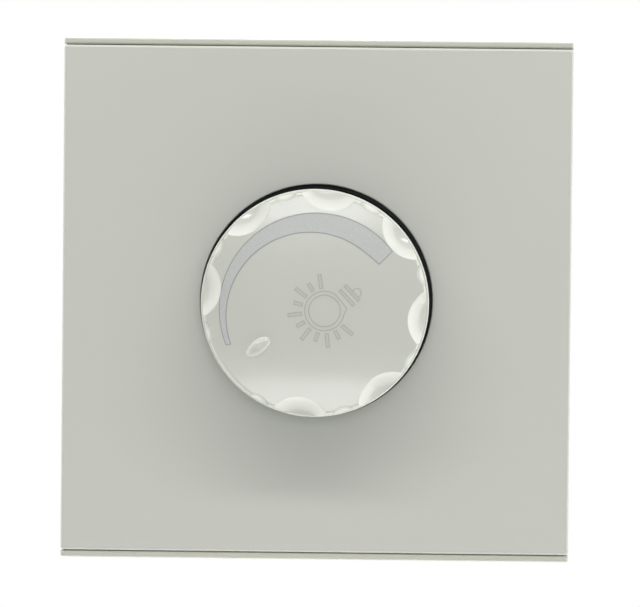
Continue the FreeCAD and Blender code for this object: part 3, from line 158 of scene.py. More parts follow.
class DimmerSign(PropertyGroup):
    """The printed lamp with its rays."""
    centre: point("Centre", "Centre of the bulb", 1.69, -1.14)
    line: length("Line", "Width of the lines", 0.17)
    outer_radius: length("Outer radius", "Outer circle of the bulb", 3.3)
    inner_radius: length("Inner radius", "Inner circle of the bulb", 2.64)
    segments: IntProperty(name="Segments", description="Faces round a circle", default=64, min=12)
    ray_count: IntProperty(name="Rays", description="Rays round the bulb", default=11, min=2)
    first_ray: angle("First ray", "Direction of the first ray", 98.5)
    ray_pitch: angle("Ray pitch", "Between two rays", 22.2)
    ray_start: length("Ray start", "Rays from the centre of the bulb", 3.75)
    long_end: length("Long ray end", "End of a long ray from the centre of the bulb", 6.2)
    short_end: length("Short ray end", "End of a short ray from the centre of the bulb", 5.35)
    ray_width: length("Ray width", "Width of a ray", 0.72)
    collar_start: angle("Collar start", "Where the collar leaves the bulb", 56.0)
    collar_end: angle("Collar end", "Where the collar meets the bulb again", -21.0)
    collar_corner: point("Collar corner", "Corner of the collar from the centre of the bulb", 3.71, 0.47)
    base_turn: angle("Base turn", "Direction of the lamp's base", 43.0)
    base_offset: length("Base offset", "Line of the base, to the left of the bulb's centre", -0.9)
    bar_start: length("First bar", "First bar of the base from the bulb's centre", 3.9)
    bar_pitch: length("Bar pitch", "Between the bars of the base", 1.17)
    bar_count: IntProperty(name="Bars", description="Bars of the base", default=2, min=1)
    bar_width: length("Bar width", "Width of a bar", 0.68)
    bar_length: length("Bar length", "Length of a bar", 3.6)
    tip_radius: length("Tip radius", "Round tip of the base", 0.72)
    tip_rise: length("Tip rise", "Centre of the tip beyond the last bar", 0.3)
    tip_offset: length("Tip offset", "Centre of the tip, to the left of the base's line", -0.5)


class DimmerInside(PropertyGroup):
    """Inner pieces with finer form than their solids."""
    core_hole: length("Core hole", "Diameter of the core's hole", 7.5)
    wire: length("Wire", "Diameter of the choke's wire", 1.1)
    bend: length("Bend", "Bend of the wire at the core's edges", 0.6)
    turns: IntProperty(name="Turns", description="Turns of wire on the core", default=12, min=2)
    sweep: angle("Sweep", "Part of the core that is wound", 285.0)
    tube_wall: length("Tube wall", "Wall of the fuse's glass", 0.5)
    tube: length("Tube", "Diameter of the fuse's glass", 4.4)
    cap: length("End cap", "Length of the fuse's end cap", 4.8)
    melt_wire: length("Fuse wire", "Diameter of the fuse's wire", 0.25)
    sides: IntProperty(name="Sides", description="Faces round the choke's wire", default=10, min=6)
    tube_sides: IntProperty(name="Tube sides", description="Faces round the fuse", default=32, min=6)
    melt_sides: IntProperty(name="Melt sides", description="Faces round the fuse's wire", default=8, min=6)
    resistor_body: length("Resistor body", "Lacquered part of a resistor", 6.5)
    diac_body: length("Diac body", "Glass part of the diac", 4.2)


class DimmerStudio(PropertyGroup):
    """Camera, floor and lamps."""
    azimuth: angle("Azimuth", "Camera to the right of the front", 1.264)
    elevation: angle("Elevation", "Camera above the front", 2.540)
    roll: angle("Roll", "Tilt of the camera", 0.573)
    distance: length("Distance", "Camera from its aim", 1127.975)
    aim: FloatVectorProperty(name="Aim", description="Point that the camera looks at",
                             default=(0.610 * MM, -9.0 * MM, -0.559 * MM), unit="LENGTH")
    lens: FloatProperty(name="Lens", description="Focal length in millimetres", default=375.4)
    floor_drop: length("Floor", "Floor below the axis of the knob", 450.0)
    floor_radius: length("Floor radius", "Radius of the floor", 480.0)
    front: power("Front lamp", "Narrow strip just above the camera", 0.39)
    top: power("Top lamp", "Narrow strip high in front, which casts the knob's shadow", 2.75)
    high: power("High lamp", "Soft lamp straight above", 2.8)
    left: power("Left lamp", "Soft lamp on the left", 2.45)
    right: power("Right lamp", "Soft lamp on the right", 3.5)
    low: power("Low lamp", "Narrow strip below the camera", 0.5)
    under: power("Under lamp", "Soft lamp straight below", 1.4)
    fill: power("Fill lamp", "Soft lamp at the camera, which lights the plate evenly", 4.4)
    back: power("Back lamp", "Soft lamp behind the plate", 5.0)
    ambient: FloatProperty(name="Ambient", description="White light from all round", default=0.06, min=0.0)


# Node groups and materials

WHITE = (1.0, 1.0, 1.0, 1.0)
CLEAR = (0.0, 0.0, 0.0, 0.0)
# Sockets of the Mix node in its colour mode
MIX_FACTOR, MIX_A, MIX_B, MIX_RESULT = 0, 6, 7, 2
# Range that most values of a noise texture fill, and the range of two such textures multiplied
NOISE_LOW, NOISE_HIGH = 0.3, 0.7
TARNISH_LOW, TARNISH_HIGH = 0.1, 0.45
# Draws the streaks of worked metal out along y
DRAWN_OUT = (1.0, 0.06, 1.0)
# Keeps the part of a vector that lies across the knob's axis
ACROSS_AXIS = (1.0, 0.0, 1.0)
BUMP_STRENGTH = 0.5
COAT_ROUGHNESS = 0.08
GLASS_IOR = 1.5
# Copper areas of the circuit board: their scale, the gap between them and how much darker it is
AREA_SCALE, AREA_GAP, GAP_DEPTH = 60.0, 0.03, 0.45
# Share of the gap's colour on the two kinds of area
FULL_AREA, FAINT_AREA = (0.0, 0.0, 0.0, 1.0), (0.2, 0.2, 0.2, 1.0)
# Bands of colour: start and width as shares of the length, and colour
RESISTOR_BANDS = ((0.26, 0.06, display(96, 56, 30)), (0.38, 0.06, display(18, 18, 18)),
                  (0.50, 0.06, display(190, 34, 24)), (0.67, 0.06, display(196, 160, 70)))
DIAC_BANDS = ((0.66, 0.07, display(18, 18, 18)),)
TINNED_WIRE = display(200, 200, 198)

FINISH_INPUTS = (("Vector", "Vector"), ("Colour", "Color"), ("Shade", "Color"), ("Cloud Scale", "Float"),
                 ("Grain Scale", "Float"), ("Smooth", "Float"), ("Rough", "Float"))
FINISH_OUTPUTS = (("Colour", "Color"), ("Roughness", "Float"), ("Height", "Float"))


def place(tree, kind, inputs=None, **options):
    """Add a node, set its options, and fill its sockets with values or links."""
    node = tree.nodes.new(kind)
    for name, value in options.items():
        setattr(node, name, value)
    for key, value in (inputs or {}).items():
        if isinstance(value, bpy.types.NodeSocket):
            tree.links.new(value, node.inputs[key])
        else:
            node.inputs[key].default_value = value
    return node


def object_coordinates(tree):
    """Coordinates of a piece in its own frame."""
    return place(tree, "ShaderNodeTexCoord").outputs["Object"]


def calculated(tree, operation, *values):
    """Result of a sum on values or links."""
    return place(tree, "ShaderNodeMath", dict(enumerate(values)), operation=operation).outputs["Value"]


def spread(tree, value, low, high, start=0.0, end=1.0, **options):
    """A value's range from low to high, spread from start to end."""
    node = place(tree, "ShaderNodeMapRange", {"Value": value, "From Min": low, "From Max": high,
                                              "To Min": start, "To Max": end}, **options)
    return node.outputs["Result"]


def mixed(tree, factor, first, second):
    """Mix of two colours."""
    node = place(tree, "ShaderNodeMix", {MIX_FACTOR: factor, MIX_A: first, MIX_B: second}, data_type="RGBA")
    return node.outputs[MIX_RESULT]


def new_group(name, inputs, outputs):
    """Start a shader node group with named sockets."""
    tree = bpy.data.node_groups.new(name, "ShaderNodeTree")
    for way, sockets in (("INPUT", inputs), ("OUTPUT", outputs)):
        for socket, kind in sockets:
            tree.interface.new_socket(socket, in_out=way, socket_type=f"NodeSocket{kind}")
    return tree, tree.nodes.new("NodeGroupInput").outputs, tree.nodes.new("NodeGroupOutput").inputs


def link_finish(tree, given, out, mask, grain):
    """Link the outputs of a finish: its colour by a mask, its gloss and height by a grain."""
    gloss = spread(tree, grain, NOISE_LOW, NOISE_HIGH, given["Smooth"], given["Rough"])
    tree.links.new(mixed(tree, mask, given["Colour"], given["Shade"]), out["Colour"])
    tree.links.new(gloss, out["Roughness"])
    tree.links.new(grain, out["Height"])


def moulded_group(name):
    """Moulded plastic: faint clouds in the colour, uneven gloss and the grain of the mould."""
    tree, given, out = new_group(name, FINISH_INPUTS, FINISH_OUTPUTS)
    cloud = place(tree, "ShaderNodeTexNoise", {"Vector": given["Vector"], "Scale": given["Cloud Scale"],
                                               "Detail": 3.0, "Roughness": 0.55})
    grain = place(tree, "ShaderNodeTexNoise", {"Vector": given["Vector"], "Scale": given["Grain Scale"],
                                               "Detail": 2.0})
    link_finish(tree, given, out, cloud.outputs["Fac"], grain.outputs["Fac"])
    return tree


def worked_group(name):
    """Worked metal: fine streaks along one direction over slow clouds of tarnish."""
    tree, given, out = new_group(name, FINISH_INPUTS, FINISH_OUTPUTS)
    drawn = place(tree, "ShaderNodeVectorMath", {0: given["Vector"], 1: DRAWN_OUT}, operation="MULTIPLY")
    streak = place(tree, "ShaderNodeTexNoise", {"Vector": drawn.outputs["Vector"],
                                                "Scale": given["Grain Scale"], "Detail": 3.0})
    cloud = place(tree, "ShaderNodeTexNoise", {"Vector": given["Vector"], "Scale": given["Cloud Scale"],
                                               "Detail": 4.0})
    both = calculated(tree, "MULTIPLY", streak.outputs["Fac"], cloud.outputs["Fac"])
    tarnish = spread(tree, both, TARNISH_LOW, TARNISH_HIGH)
    link_finish(tree, given, out, tarnish, streak.outputs["Fac"])
    return tree


FINISH_GROUPS = {"Moulded finish": moulded_group, "Worked metal": worked_group}


def shared_group(name):
    """Find the node group of a finish, or build it the first time."""
    return bpy.data.node_groups.get(name) or FINISH_GROUPS[name](name)


def darker(base, share):
    """A colour brought down by a share."""
    return tuple(value * (1.0 - share) for value in base[:3]) + (1.0,)


def new_material(name):
    """Start a material with nodes."""
    material = bpy.data.materials.new(name)
    material.use_nodes = True
    return material


def shader_of(material):
    """The shader of a material."""
    return material.node_tree.nodes["Principled BSDF"]


def finished(name, kind, base, depth, cloud, grain, gloss, relief):
    """Start a material with the group of a finish before its shader."""
    material = new_material(name)
    tree = material.node_tree
    smooth, rough = gloss
    finish = place(tree, "ShaderNodeGroup",
                   {"Vector": object_coordinates(tree), "Colour": base, "Shade": darker(base, depth),
                    "Cloud Scale": cloud, "Grain Scale": grain, "Smooth": smooth, "Rough": rough},
                   node_tree=shared_group(kind))
    bump = place(tree, "ShaderNodeBump", {"Height": finish.outputs["Height"], "Strength": BUMP_STRENGTH,
                                          "Distance": relief})
    sockets = shader_of(material).inputs
    tree.links.new(finish.outputs["Colour"], sockets["Base Color"])
    tree.links.new(finish.outputs["Roughness"], sockets["Roughness"])
    tree.links.new(bump.outputs["Normal"], sockets["Normal"])
    return material


def overlay(material, mask, tint):
    """Lay a colour over that of a material where a mask is 1."""
    tree = material.node_tree
    socket = shader_of(material).inputs["Base Color"]
    tree.links.new(mixed(tree, mask, socket.links[0].from_socket, tint), socket)


def plastic(name, base, depth=0.06, cloud=60.0, grain=2500.0, gloss=(0.3, 0.4), relief=0.004 * MM, coat=0.0,
            specular=0.5):
    """A moulded plastic."""
    material = finished(name, "Moulded finish", base, depth, cloud, grain, gloss, relief)
    sockets = shader_of(material).inputs
    sockets["Coat Weight"].default_value = coat
    sockets["Coat Roughness"].default_value = COAT_ROUGHNESS
    sockets["Specular IOR Level"].default_value = specular
    return material


def paint_well_shade(material, black):
    """Paint a piece black in the well round the knob's axis: painted shade deep in the gap round the knob."""
    tree = material.node_tree
    across = place(tree, "ShaderNodeVectorMath", {0: object_coordinates(tree), 1: ACROSS_AXIS},
                   operation="MULTIPLY")
    reach = place(tree, "ShaderNodeVectorMath", {0: across.outputs["Vector"]}, operation="LENGTH")
    overlay(material, calculated(tree, "LESS_THAN", reach.outputs["Value"], SHADED_WELL_RADIUS), black)


def metal(name, base, depth=0.25, cloud=140.0, grain=3000.0, gloss=(0.28, 0.45), relief=0.004 * MM):
    """A bare or plated metal with worked streaks."""
    material = finished(name, "Worked metal", base, depth, cloud, grain, gloss, relief)
    shader_of(material).inputs["Metallic"].default_value = 1.0
    return material


def banded(name, node, base, bands, body, gloss):
    """A lacquered round part with bands of colour along x, and bare wire beyond its body."""
    material = finished(name, "Moulded finish", base, depth=0.1, cloud=300.0, grain=4000.0, gloss=gloss,
                        relief=0.004 * MM)
    tree = material.node_tree
    low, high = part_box(node)
    split = place(tree, "ShaderNodeSeparateXYZ", {"Vector": object_coordinates(tree)})
    share = spread(tree, split.outputs["X"], low.x, high.x)
    ramp = place(tree, "ShaderNodeValToRGB", {"Fac": share})
    ramp.color_ramp.interpolation = "CONSTANT"
    stops = ramp.color_ramp.elements
    for stop in stops:
        stop.color = CLEAR
    for start, width, band in bands:
        stops.new(start).color = band
        stops.new(start + width).color = CLEAR
    overlay(material, ramp.outputs["Alpha"], ramp.outputs["Color"])
    off_middle = calculated(tree, "ABSOLUTE", calculated(tree, "SUBTRACT", share, 0.5))
    bare = calculated(tree, "GREATER_THAN", off_middle, body / (high.x - low.x) / 2)
    overlay(material, bare, TINNED_WIRE)
    tree.links.new(bare, shader_of(material).inputs["Metallic"])
    return material


def laminate(name, base):
    """Circuit board: lacquered copper areas with etched gaps between them."""
    material = finished(name, "Moulded finish", base, depth=0.2, cloud=200.0, grain=3000.0,
                        gloss=(0.25, 0.4), relief=0.003 * MM)
    tree = material.node_tree
    turned = place(tree, "ShaderNodeMapping", {"Vector": object_coordinates(tree),
                                               "Rotation": (math.pi / 2, 0.0, 0.0)})
    gaps = place(tree, "ShaderNodeTexBrick", {"Vector": turned.outputs["Vector"], "Scale": AREA_SCALE,
                                              "Mortar Size": AREA_GAP, "Color1": FULL_AREA,
                                              "Color2": FAINT_AREA, "Mortar": WHITE})
    overlay(material, gaps.outputs["Color"], darker(base, GAP_DEPTH))
    return material


def clear_glass(name, base):
    """Thin clear glass with a trace of unevenness."""
    material = finished(name, "Moulded finish", base, depth=0.04, cloud=200.0, grain=600.0,
                        gloss=(0.02, 0.06), relief=0.002 * MM)
    sockets = shader_of(material).inputs
    sockets["Transmission Weight"].default_value = 1.0
    sockets["IOR"].default_value = GLASS_IOR
    return material


def dress(finish, *names):
    """Give CAD nodes one finish."""
    for name in names:
        materials = NODES[name].data.materials
        materials.clear()
        materials.append(finish)


# Shapes

def new_piece(name, shape, finishes, body, replaced=()):
    """Turn a bmesh into a finished piece that rides on a body."""
    bmesh.ops.remove_doubles(shape, verts=shape.verts, dist=MERGE)
    bmesh.ops.recalc_face_normals(shape, faces=shape.faces)
    for face in shape.faces:
        face.smooth = True
    data = bpy.data.meshes.new(name)
    shape.to_mesh(data)
    shape.free()
    data.set_sharp_from_angle(angle=SHARP)
    for finish in finishes:
        data.materials.append(finish)
    piece = bpy.data.objects.new(name, data)
    bpy.context.scene.collection.objects.link(piece)
    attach(piece, body)
    if replaced:
        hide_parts(*replaced)


def add_ring(shape, centre, radius, line, segments, start=0.0, sweep=math.tau):
    """Add a flat ring or a part of one: a short radial edge spun round the centre."""
    way = Vector((math.cos(start), math.sin(start)))
    ends = [shape.verts.new((centre + way * (radius + side * line / 2)).to_3d()) for side in (-1, 1)]
    edge = shape.edges.new(ends)
    bmesh.ops.spin(shape, geom=ends + [edge], cent=centre.to_3d(), axis=(0, 0, 1), angle=sweep,
                   steps=segments, use_merge=sweep == math.tau)


def add_bar(shape, matrix, start, end, width, line=None):
    """Add a flat bar along the x axis of a matrix, outlined where a line width is given."""
    scale = Matrix.Diagonal((end - start, width, 1.0, 1.0))
    middle = Matrix.Translation(((start + end) / 2, 0.0, 0.0))
    unit = bmesh.ops.create_grid(shape, x_segments=1, y_segments=1, size=0.5,
                                 matrix=matrix @ middle @ scale)
    inside = unit["verts"][0].link_faces[0]
    if line:
        bmesh.ops.inset_region(shape, faces=[inside], thickness=line, use_boundary=True,
                               use_even_offset=True)
        inside.material_index = FILL


def add_line(shape, start, end, width):
    """Add a flat line between two points."""
    run = end - start
    along = Matrix.Translation(start.to_3d()) @ Matrix.Rotation(math.atan2(run.y, run.x), 4, "Z")
    add_bar(shape, along, 0.0, run.length, width)


def print_on_cap(shape, film):
    """Lay flat print upright on the cap, with its face proud and its back sunk by the film's height."""
    bmesh.ops.transform(shape, matrix=UPRIGHT, verts=shape.verts)
    cap = BVHTree.FromObject(NODES["knob_cap"], bpy.context.evaluated_depsgraph_get())
    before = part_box("knob_cap")[0].y - RAY_LEAD
    for vertex in shape.verts:
        spot = cap.ray_cast(Vector((vertex.co.x, before, vertex.co.z)), Vector((0.0, 1.0, 0.0)))[0]
        if spot is None:
            raise RuntimeError("The print reaches beyond the knob cap")
        vertex.co.y = spot.y + film
    front = bmesh.ops.extrude_face_region(shape, geom=shape.faces[:])
    lifted = [item for item in front["geom"] if isinstance(item, bmesh.types.BMVert)]
    bmesh.ops.translate(shape, verts=lifted, vec=(0.0, -2 * film, 0.0))


def on_circle(turn, centre, radius):
    """Point of a circle that lies in a direction from the knob's axis."""
    way = Vector((math.cos(turn), math.sin(turn)))
    reach = centre.dot(way)
    return way * (reach + math.sqrt(radius ** 2 - centre.length_squared + reach ** 2))


def bent_wire(shape, half_width, half_height, bend, radius, sides):
    """Add one turn of wire about a rounded rectangle in the x-y plane, and give its vertices."""
    known = set(shape.verts)
    start = Matrix.Translation((half_width, -(half_height - bend), 0.0)) @ UPRIGHT
    ring = bmesh.ops.create_circle(shape, cap_ends=False, segments=sides, radius=radius, matrix=start)
    edges = list({edge for vertex in ring["verts"] for edge in vertex.link_edges})
    runs = (2 * (half_height - bend), 2 * (half_width - bend))
    for corner in range(4):
        turn = Matrix.Rotation(corner * math.pi / 2, 3, "Z")
        out = bmesh.ops.extrude_edge_only(shape, edges=edges)["geom"]
        moved = [item for item in out if isinstance(item, bmesh.types.BMVert)]
        bmesh.ops.translate(shape, verts=moved, vec=turn @ Vector((0.0, runs[corner % 2], 0.0)))
        edges = [item for item in out if isinstance(item, bmesh.types.BMEdge)
                 and all(vertex in moved for vertex in item.verts)]
        side = half_width if corner % 2 == 0 else half_height
        run = half_height if corner % 2 == 0 else half_width
        centre = turn @ Vector((side - bend, run - bend, 0.0))
        last = bmesh.ops.spin(shape, geom=moved + edges, cent=centre, axis=(0, 0, 1), angle=math.pi / 2,
                              steps=BEND_STEPS)["geom_last"]
        edges = [item for item in last if isinstance(item, bmesh.types.BMEdge)]
    return [vertex for vertex in shape.verts if vertex not in known]


def spun_profile(shape, corners, segments):
    """Add a solid of rotation about the x axis from (x, radius) corners of a closed profile."""
    verts = [shape.verts.new((x, 0.0, radius)) for x, radius in corners]
    edges = [shape.edges.new((verts[index - 1], verts[index])) for index in range(len(verts))]
    bmesh.ops.spin(shape, geom=verts + edges, cent=(0, 0, 0), axis=(1, 0, 0), angle=math.tau,
                   steps=segments, use_merge=True)


# Studio

FLOOR_SEGMENTS = 96
FLOOR_COLOUR = (0.88, 0.88, 0.88, 1.0)
FLOOR_ROUGHNESS = 0.9
# Distances from the origin at which the floor starts and ends its fade to white, as shares of its radius
FADE_START, FADE_END = 0.3, 0.95
# How far the camera sees, in metres
CLIP_END = 10.0
# Lamps: name, azimuth and elevation in degrees, distance, width and height in metres, what they light
LAMPS = (
    ("front", 0.0, 7.4, 0.90, 0.40, 0.05, "GLOSS"),
    ("top", 0.0, 48.0, 0.70, 1.20, 0.07, "ALL"),
    ("high", 0.0, 88.0, 0.60, 1.20, 0.40, "ALL"),
    ("left", -88.0, 0.0, 0.60, 0.40, 1.20, "ALL"),
    ("right", 88.0, 0.0, 0.60, 0.40, 1.20, "ALL"),
    ("low", 0.0, -12.8, 0.80, 0.50, 0.07, "GLOSS"),
    ("under", 0.0, -88.0, 0.40, 0.90, 0.32, "ALL"),
    ("fill", 1.3, 2.5, 1.40, 0.50, 0.50, "MATT"),
    ("back", 180.0, 20.0, 0.80, 0.80, 0.80, "ALL"),
)


def direction(azimuth, elevation):
    """Unit vector from the object: azimuth to the right of the front, elevation above it."""
    return Vector((math.sin(azimuth) * math.cos(elevation), -math.cos(azimuth) * math.cos(elevation),
                   math.sin(elevation)))


def add_world(scene, studio):
    """White for the camera, reflections and glass; softer as a light on the object."""
    scene.world = bpy.data.worlds.new("studio_white")
    scene.world.use_nodes = True
    tree = scene.world.node_tree
    soft = tree.nodes["Background"]
    soft.inputs["Color"].default_value = WHITE
    soft.inputs["Strength"].default_value = studio.ambient
    white = place(tree, "ShaderNodeBackground", {"Color": WHITE, "Strength": 1.0})
    path = place(tree, "ShaderNodeLightPath").outputs
    seen = calculated(tree, "MAXIMUM", path["Is Camera Ray"], path["Is Glossy Ray"])
    seen = calculated(tree, "MAXIMUM", seen, path["Is Transmission Ray"])
    choice = place(tree, "ShaderNodeMixShader", {0: seen, 1: soft.outputs["Background"],
                                                 2: white.outputs["Background"]})
    tree.links.new(choice.outputs["Shader"], tree.nodes["World Output"].inputs["Surface"])


def add_floor(scene, studio):
    """Pale round floor, which fades to white for the camera with its distance from the origin."""
    shape = bmesh.new()
    bmesh.ops.create_circle(shape, cap_ends=True, segments=FLOOR_SEGMENTS, radius=studio.floor_radius,
                            matrix=Matrix.Translation((0.0, 0.0, -studio.floor_drop)))
    data = bpy.data.meshes.new("floor")
    shape.to_mesh(data)
    shape.free()
    floor = bpy.data.objects.new("floor", data)
    scene.collection.objects.link(floor)
    material = new_material("floor_paper")
    tree = material.node_tree
    shader = shader_of(material)
    shader.inputs["Base Color"].default_value = FLOOR_COLOUR
    shader.inputs["Roughness"].default_value = FLOOR_ROUGHNESS
    away = place(tree, "ShaderNodeVectorMath", {0: object_coordinates(tree)}, operation="LENGTH")
    edge = spread(tree, away.outputs["Value"], studio.floor_radius * FADE_START,
                  studio.floor_radius * FADE_END, interpolation_type="SMOOTHSTEP")
    path = place(tree, "ShaderNodeLightPath").outputs
    fade = calculated(tree, "MULTIPLY", edge, path["Is Camera Ray"])
    white = place(tree, "ShaderNodeEmission", {"Color": WHITE, "Strength": 1.0})
    choice = place(tree, "ShaderNodeMixShader", {0: fade, 1: shader.outputs["BSDF"],
                                                 2: white.outputs["Emission"]})
    tree.links.new(choice.outputs["Shader"], tree.nodes["Material Output"].inputs["Surface"])
    data.materials.append(material)


def add_lamp(scene, name, azimuth, elevation, distance, width, height, lights, watts):
    """Add a rectangular lamp that faces the object and that the camera doesn't see.

    It lights ALL, or only MATT surfaces, or only makes highlights on GLOSS ones.
    """
    light = bpy.data.lights.new(name, "AREA")
    light.shape = "RECTANGLE"
    light.size = width
    light.size_y = height
    light.energy = watts
    lamp = bpy.data.objects.new(name, light)
    back = direction(math.radians(azimuth), math.radians(elevation))
    lamp.location = back * distance
    lamp.rotation_euler = back.to_track_quat("Z", "Y").to_euler()
    lamp.visible_camera = False
    lamp.visible_diffuse = lights != "GLOSS"
    lamp.visible_glossy = lights != "MATT"
    scene.collection.objects.link(lamp)


def add_camera(scene, studio):
    """Add the camera at the photograph's place."""
    back = direction(studio.azimuth, studio.elevation)
    right = Vector((math.cos(studio.azimuth), math.sin(studio.azimuth), 0.0))
    turn = Matrix((right, back.cross(right), back)).transposed()
    turn = turn @ Matrix.Rotation(studio.roll, 3, "Z")
    data = bpy.data.cameras.new("camera")
    data.lens = studio.lens
    data.clip_end = CLIP_END
    camera = bpy.data.objects.new("camera", data)
    camera.matrix_world = Matrix.Translation(Vector(studio.aim) + back * studio.distance) @ turn.to_4x4()
    scene.collection.objects.link(camera)
    scene.camera = camera


# Operators

class DIMMER_OT_plate(Operator):
    """Finish the clip-on panel and the frame behind it"""
    bl_idname = "dimmer.plate"
    bl_label = "Plate"

    def execute(self, context):
        colours = context.scene.dimmer_colours
        look = {"depth": 0.03, "cloud": 35.0, "grain": 2200.0, "gloss": (0.28, 0.32), "relief": 0.001 * MM}
        dress(plastic("front_panel_plastic", colours.plate, **look), "front_panel")
        behind = plastic("mounting_frame_plastic", colours.frame, **look)
        # The frame is painted black round the knob's axis: painted shade in the gap between knob and panel
        paint_well_shade(behind, colours.lower_knob)
        dress(behind, "mounting_frame")
        return {"FINISHED"}


class DIMMER_OT_knob(Operator):
    """Finish the scalloped cap and the black part under it"""
    bl_idname = "dimmer.knob"
    bl_label = "Knob"

    def execute(self, context):
        colours = context.scene.dimmer_colours
        cap = plastic("knob_plastic", colours.knob, depth=0.02, cloud=50.0, grain=1200.0, gloss=(0.13, 0.17),
                      relief=0.001 * MM, coat=0.5)
        dress(cap, "knob_cap")
        black = plastic("black_plastic", colours.lower_knob, depth=0.2, gloss=(0.75, 0.9), specular=0.0)
        dress(black, "knob_body")
        return {"FINISHED"}


class DIMMER_OT_scale(Operator):
    """Print the wedge that shows how the light rises as the knob turns"""
    bl_idname = "dimmer.scale"
    bl_label = "Dimming scale"

    def execute(self, context):
        scale = context.scene.dimmer_scale
        colours = context.scene.dimmer_colours
        shape = bmesh.new()
        outer = shape.verts.new((scale.outer_radius, 0.0, 0.0))
        inner = shape.verts.new((scale.inner_radius, 0.0, 0.0))
        edge = shape.edges.new((outer, inner))
        middle = (scale.outer_radius + scale.inner_radius) / 2
        sweep = scale.outer_end - scale.outer_start
        bmesh.ops.spin(shape, geom=[outer, inner, edge], cent=(0, 0, 0), axis=(0, 0, 1), angle=sweep,
                       steps=scale.steps)
        for vertex in shape.verts:
            share = (-math.atan2(vertex.co.y, vertex.co.x) % math.tau) / -sweep
            if vertex.co.length > middle:
                turn = scale.outer_start + share * sweep
                spot = on_circle(turn, Vector(scale.outer_centre), scale.outer_radius)
            else:
                turn = scale.inner_start + share * (scale.inner_end - scale.inner_start)
                spot = on_circle(turn, Vector(scale.inner_centre), scale.inner_radius)
                spot += spot.normalized() * scale.flare * share ** scale.flare_power
            vertex.co.xy = spot
        inside = shape.faces[:]
        bmesh.ops.inset_region(shape, faces=inside, thickness=scale.line, use_boundary=True,
                               use_even_offset=True)
        for face in inside:
            face.material_index = FILL
        print_on_cap(shape, scale.film)
        inks = [plastic("scale_line_ink", colours.scale_line, grain=5000.0, gloss=(0.3, 0.45)),
                plastic("scale_fill_ink", colours.scale_fill, grain=5000.0, gloss=(0.22, 0.32))]
        new_piece("dimming_scale", shape, inks, "knob")
        return {"FINISHED"}


class DIMMER_OT_sign(Operator):
    """Print the lamp with its rays"""
    bl_idname = "dimmer.sign"
    bl_label = "Lamp sign"

    def execute(self, context):
        sign = context.scene.dimmer_sign
        colours = context.scene.dimmer_colours
        shape = bmesh.new()
        centre = Vector(sign.centre)
        to_centre = Matrix.Translation(centre.to_3d())
        add_ring(shape, centre, sign.inner_radius, sign.line, sign.segments)
        add_ring(shape, centre, sign.outer_radius, sign.line, sign.segments, sign.collar_start,
                 math.tau - sign.collar_start + sign.collar_end)
        for turn in (sign.collar_start, sign.collar_end):
            root = Vector((math.cos(turn), math.sin(turn))) * sign.outer_radius
            add_line(shape, centre + root, centre + Vector(sign.collar_corner), sign.line)
        for index in range(sign.ray_count):
            turn = Matrix.Rotation(sign.first_ray + index * sign.ray_pitch, 4, "Z")
            end = sign.short_end if index % 2 else sign.long_end
            add_bar(shape, to_centre @ turn, sign.ray_start, end, sign.ray_width, sign.line)
        base = to_centre @ Matrix.Rotation(sign.base_turn, 4, "Z")
        base = base @ Matrix.Translation((0.0, sign.base_offset, 0.0))
        for index in range(sign.bar_count):
            middle = sign.bar_start + index * sign.bar_pitch + sign.bar_width / 2
            across = base @ Matrix.Translation((middle, 0.0, 0.0)) @ Matrix.Rotation(math.pi / 2, 4, "Z")
            add_bar(shape, across, -sign.bar_length / 2, sign.bar_length / 2, sign.bar_width, sign.line)
        last_bar = sign.bar_start + (sign.bar_count - 1) * sign.bar_pitch + sign.bar_width
        tip = base @ Vector((last_bar + sign.tip_rise, sign.tip_offset, 0.0))
        half = math.acos(-sign.tip_rise / sign.tip_radius)
        add_ring(shape, tip.to_2d(), sign.tip_radius, sign.line, sign.segments // 2, sign.base_turn - half,
                 2 * half)
        print_on_cap(shape, context.scene.dimmer_scale.film)
        inks = [plastic("sign_line_ink", colours.sign_line, grain=5000.0, gloss=(0.25, 0.35)),
                plastic("sign_fill_ink", colours.sign_fill, grain=5000.0, gloss=(0.2, 0.3))]
        new_piece("lamp_sign", shape, inks, "knob")
        return {"FINISHED"}


class DIMMER_OT_housing(Operator):
    """Finish the rear housing and its screws"""
    bl_idname = "dimmer.housing"
    bl_label = "Rear housing"

    def execute(self, context):
        colours = context.scene.dimmer_colours
        case = plastic("housing_plastic", colours.housing, depth=0.25, cloud=90.0, grain=2200.0,
                       gloss=(0.42, 0.62), relief=0.02 * MM)
        dress(case, "rear_housing")
        dress(metal("plated_steel", colours.steel), "housing_screws")
        return {"FINISHED"}


class DIMMER_OT_control(Operator):
    """Finish the potentiometer and its fastening"""
    bl_idname = "dimmer.control"
    bl_label = "Potentiometer"

    def execute(self, context):
        colours = context.scene.dimmer_colours
        steel = metal("pot_steel", colours.steel, gloss=(0.22, 0.36))
        dress(steel, "pot_washer", "pot_can")
        dress(metal("pot_zinc", colours.zinc, gloss=(0.35, 0.5)), "pot_bushing")
        dress(metal("pot_aluminium", colours.aluminium, gloss=(0.25, 0.4)), "pot_shaft")
        dress(metal("pot_brass", colours.brass, gloss=(0.22, 0.38)), "pot_nut", "pot_wiper", "pot_pins")
        board = plastic("phenolic_board", colours.phenolic, depth=0.3, cloud=500.0, grain=4000.0,
                        gloss=(0.45, 0.65), relief=0.01 * MM)
        dress(board, "pot_rotor", "pot_wafer")
        return {"FINISHED"}


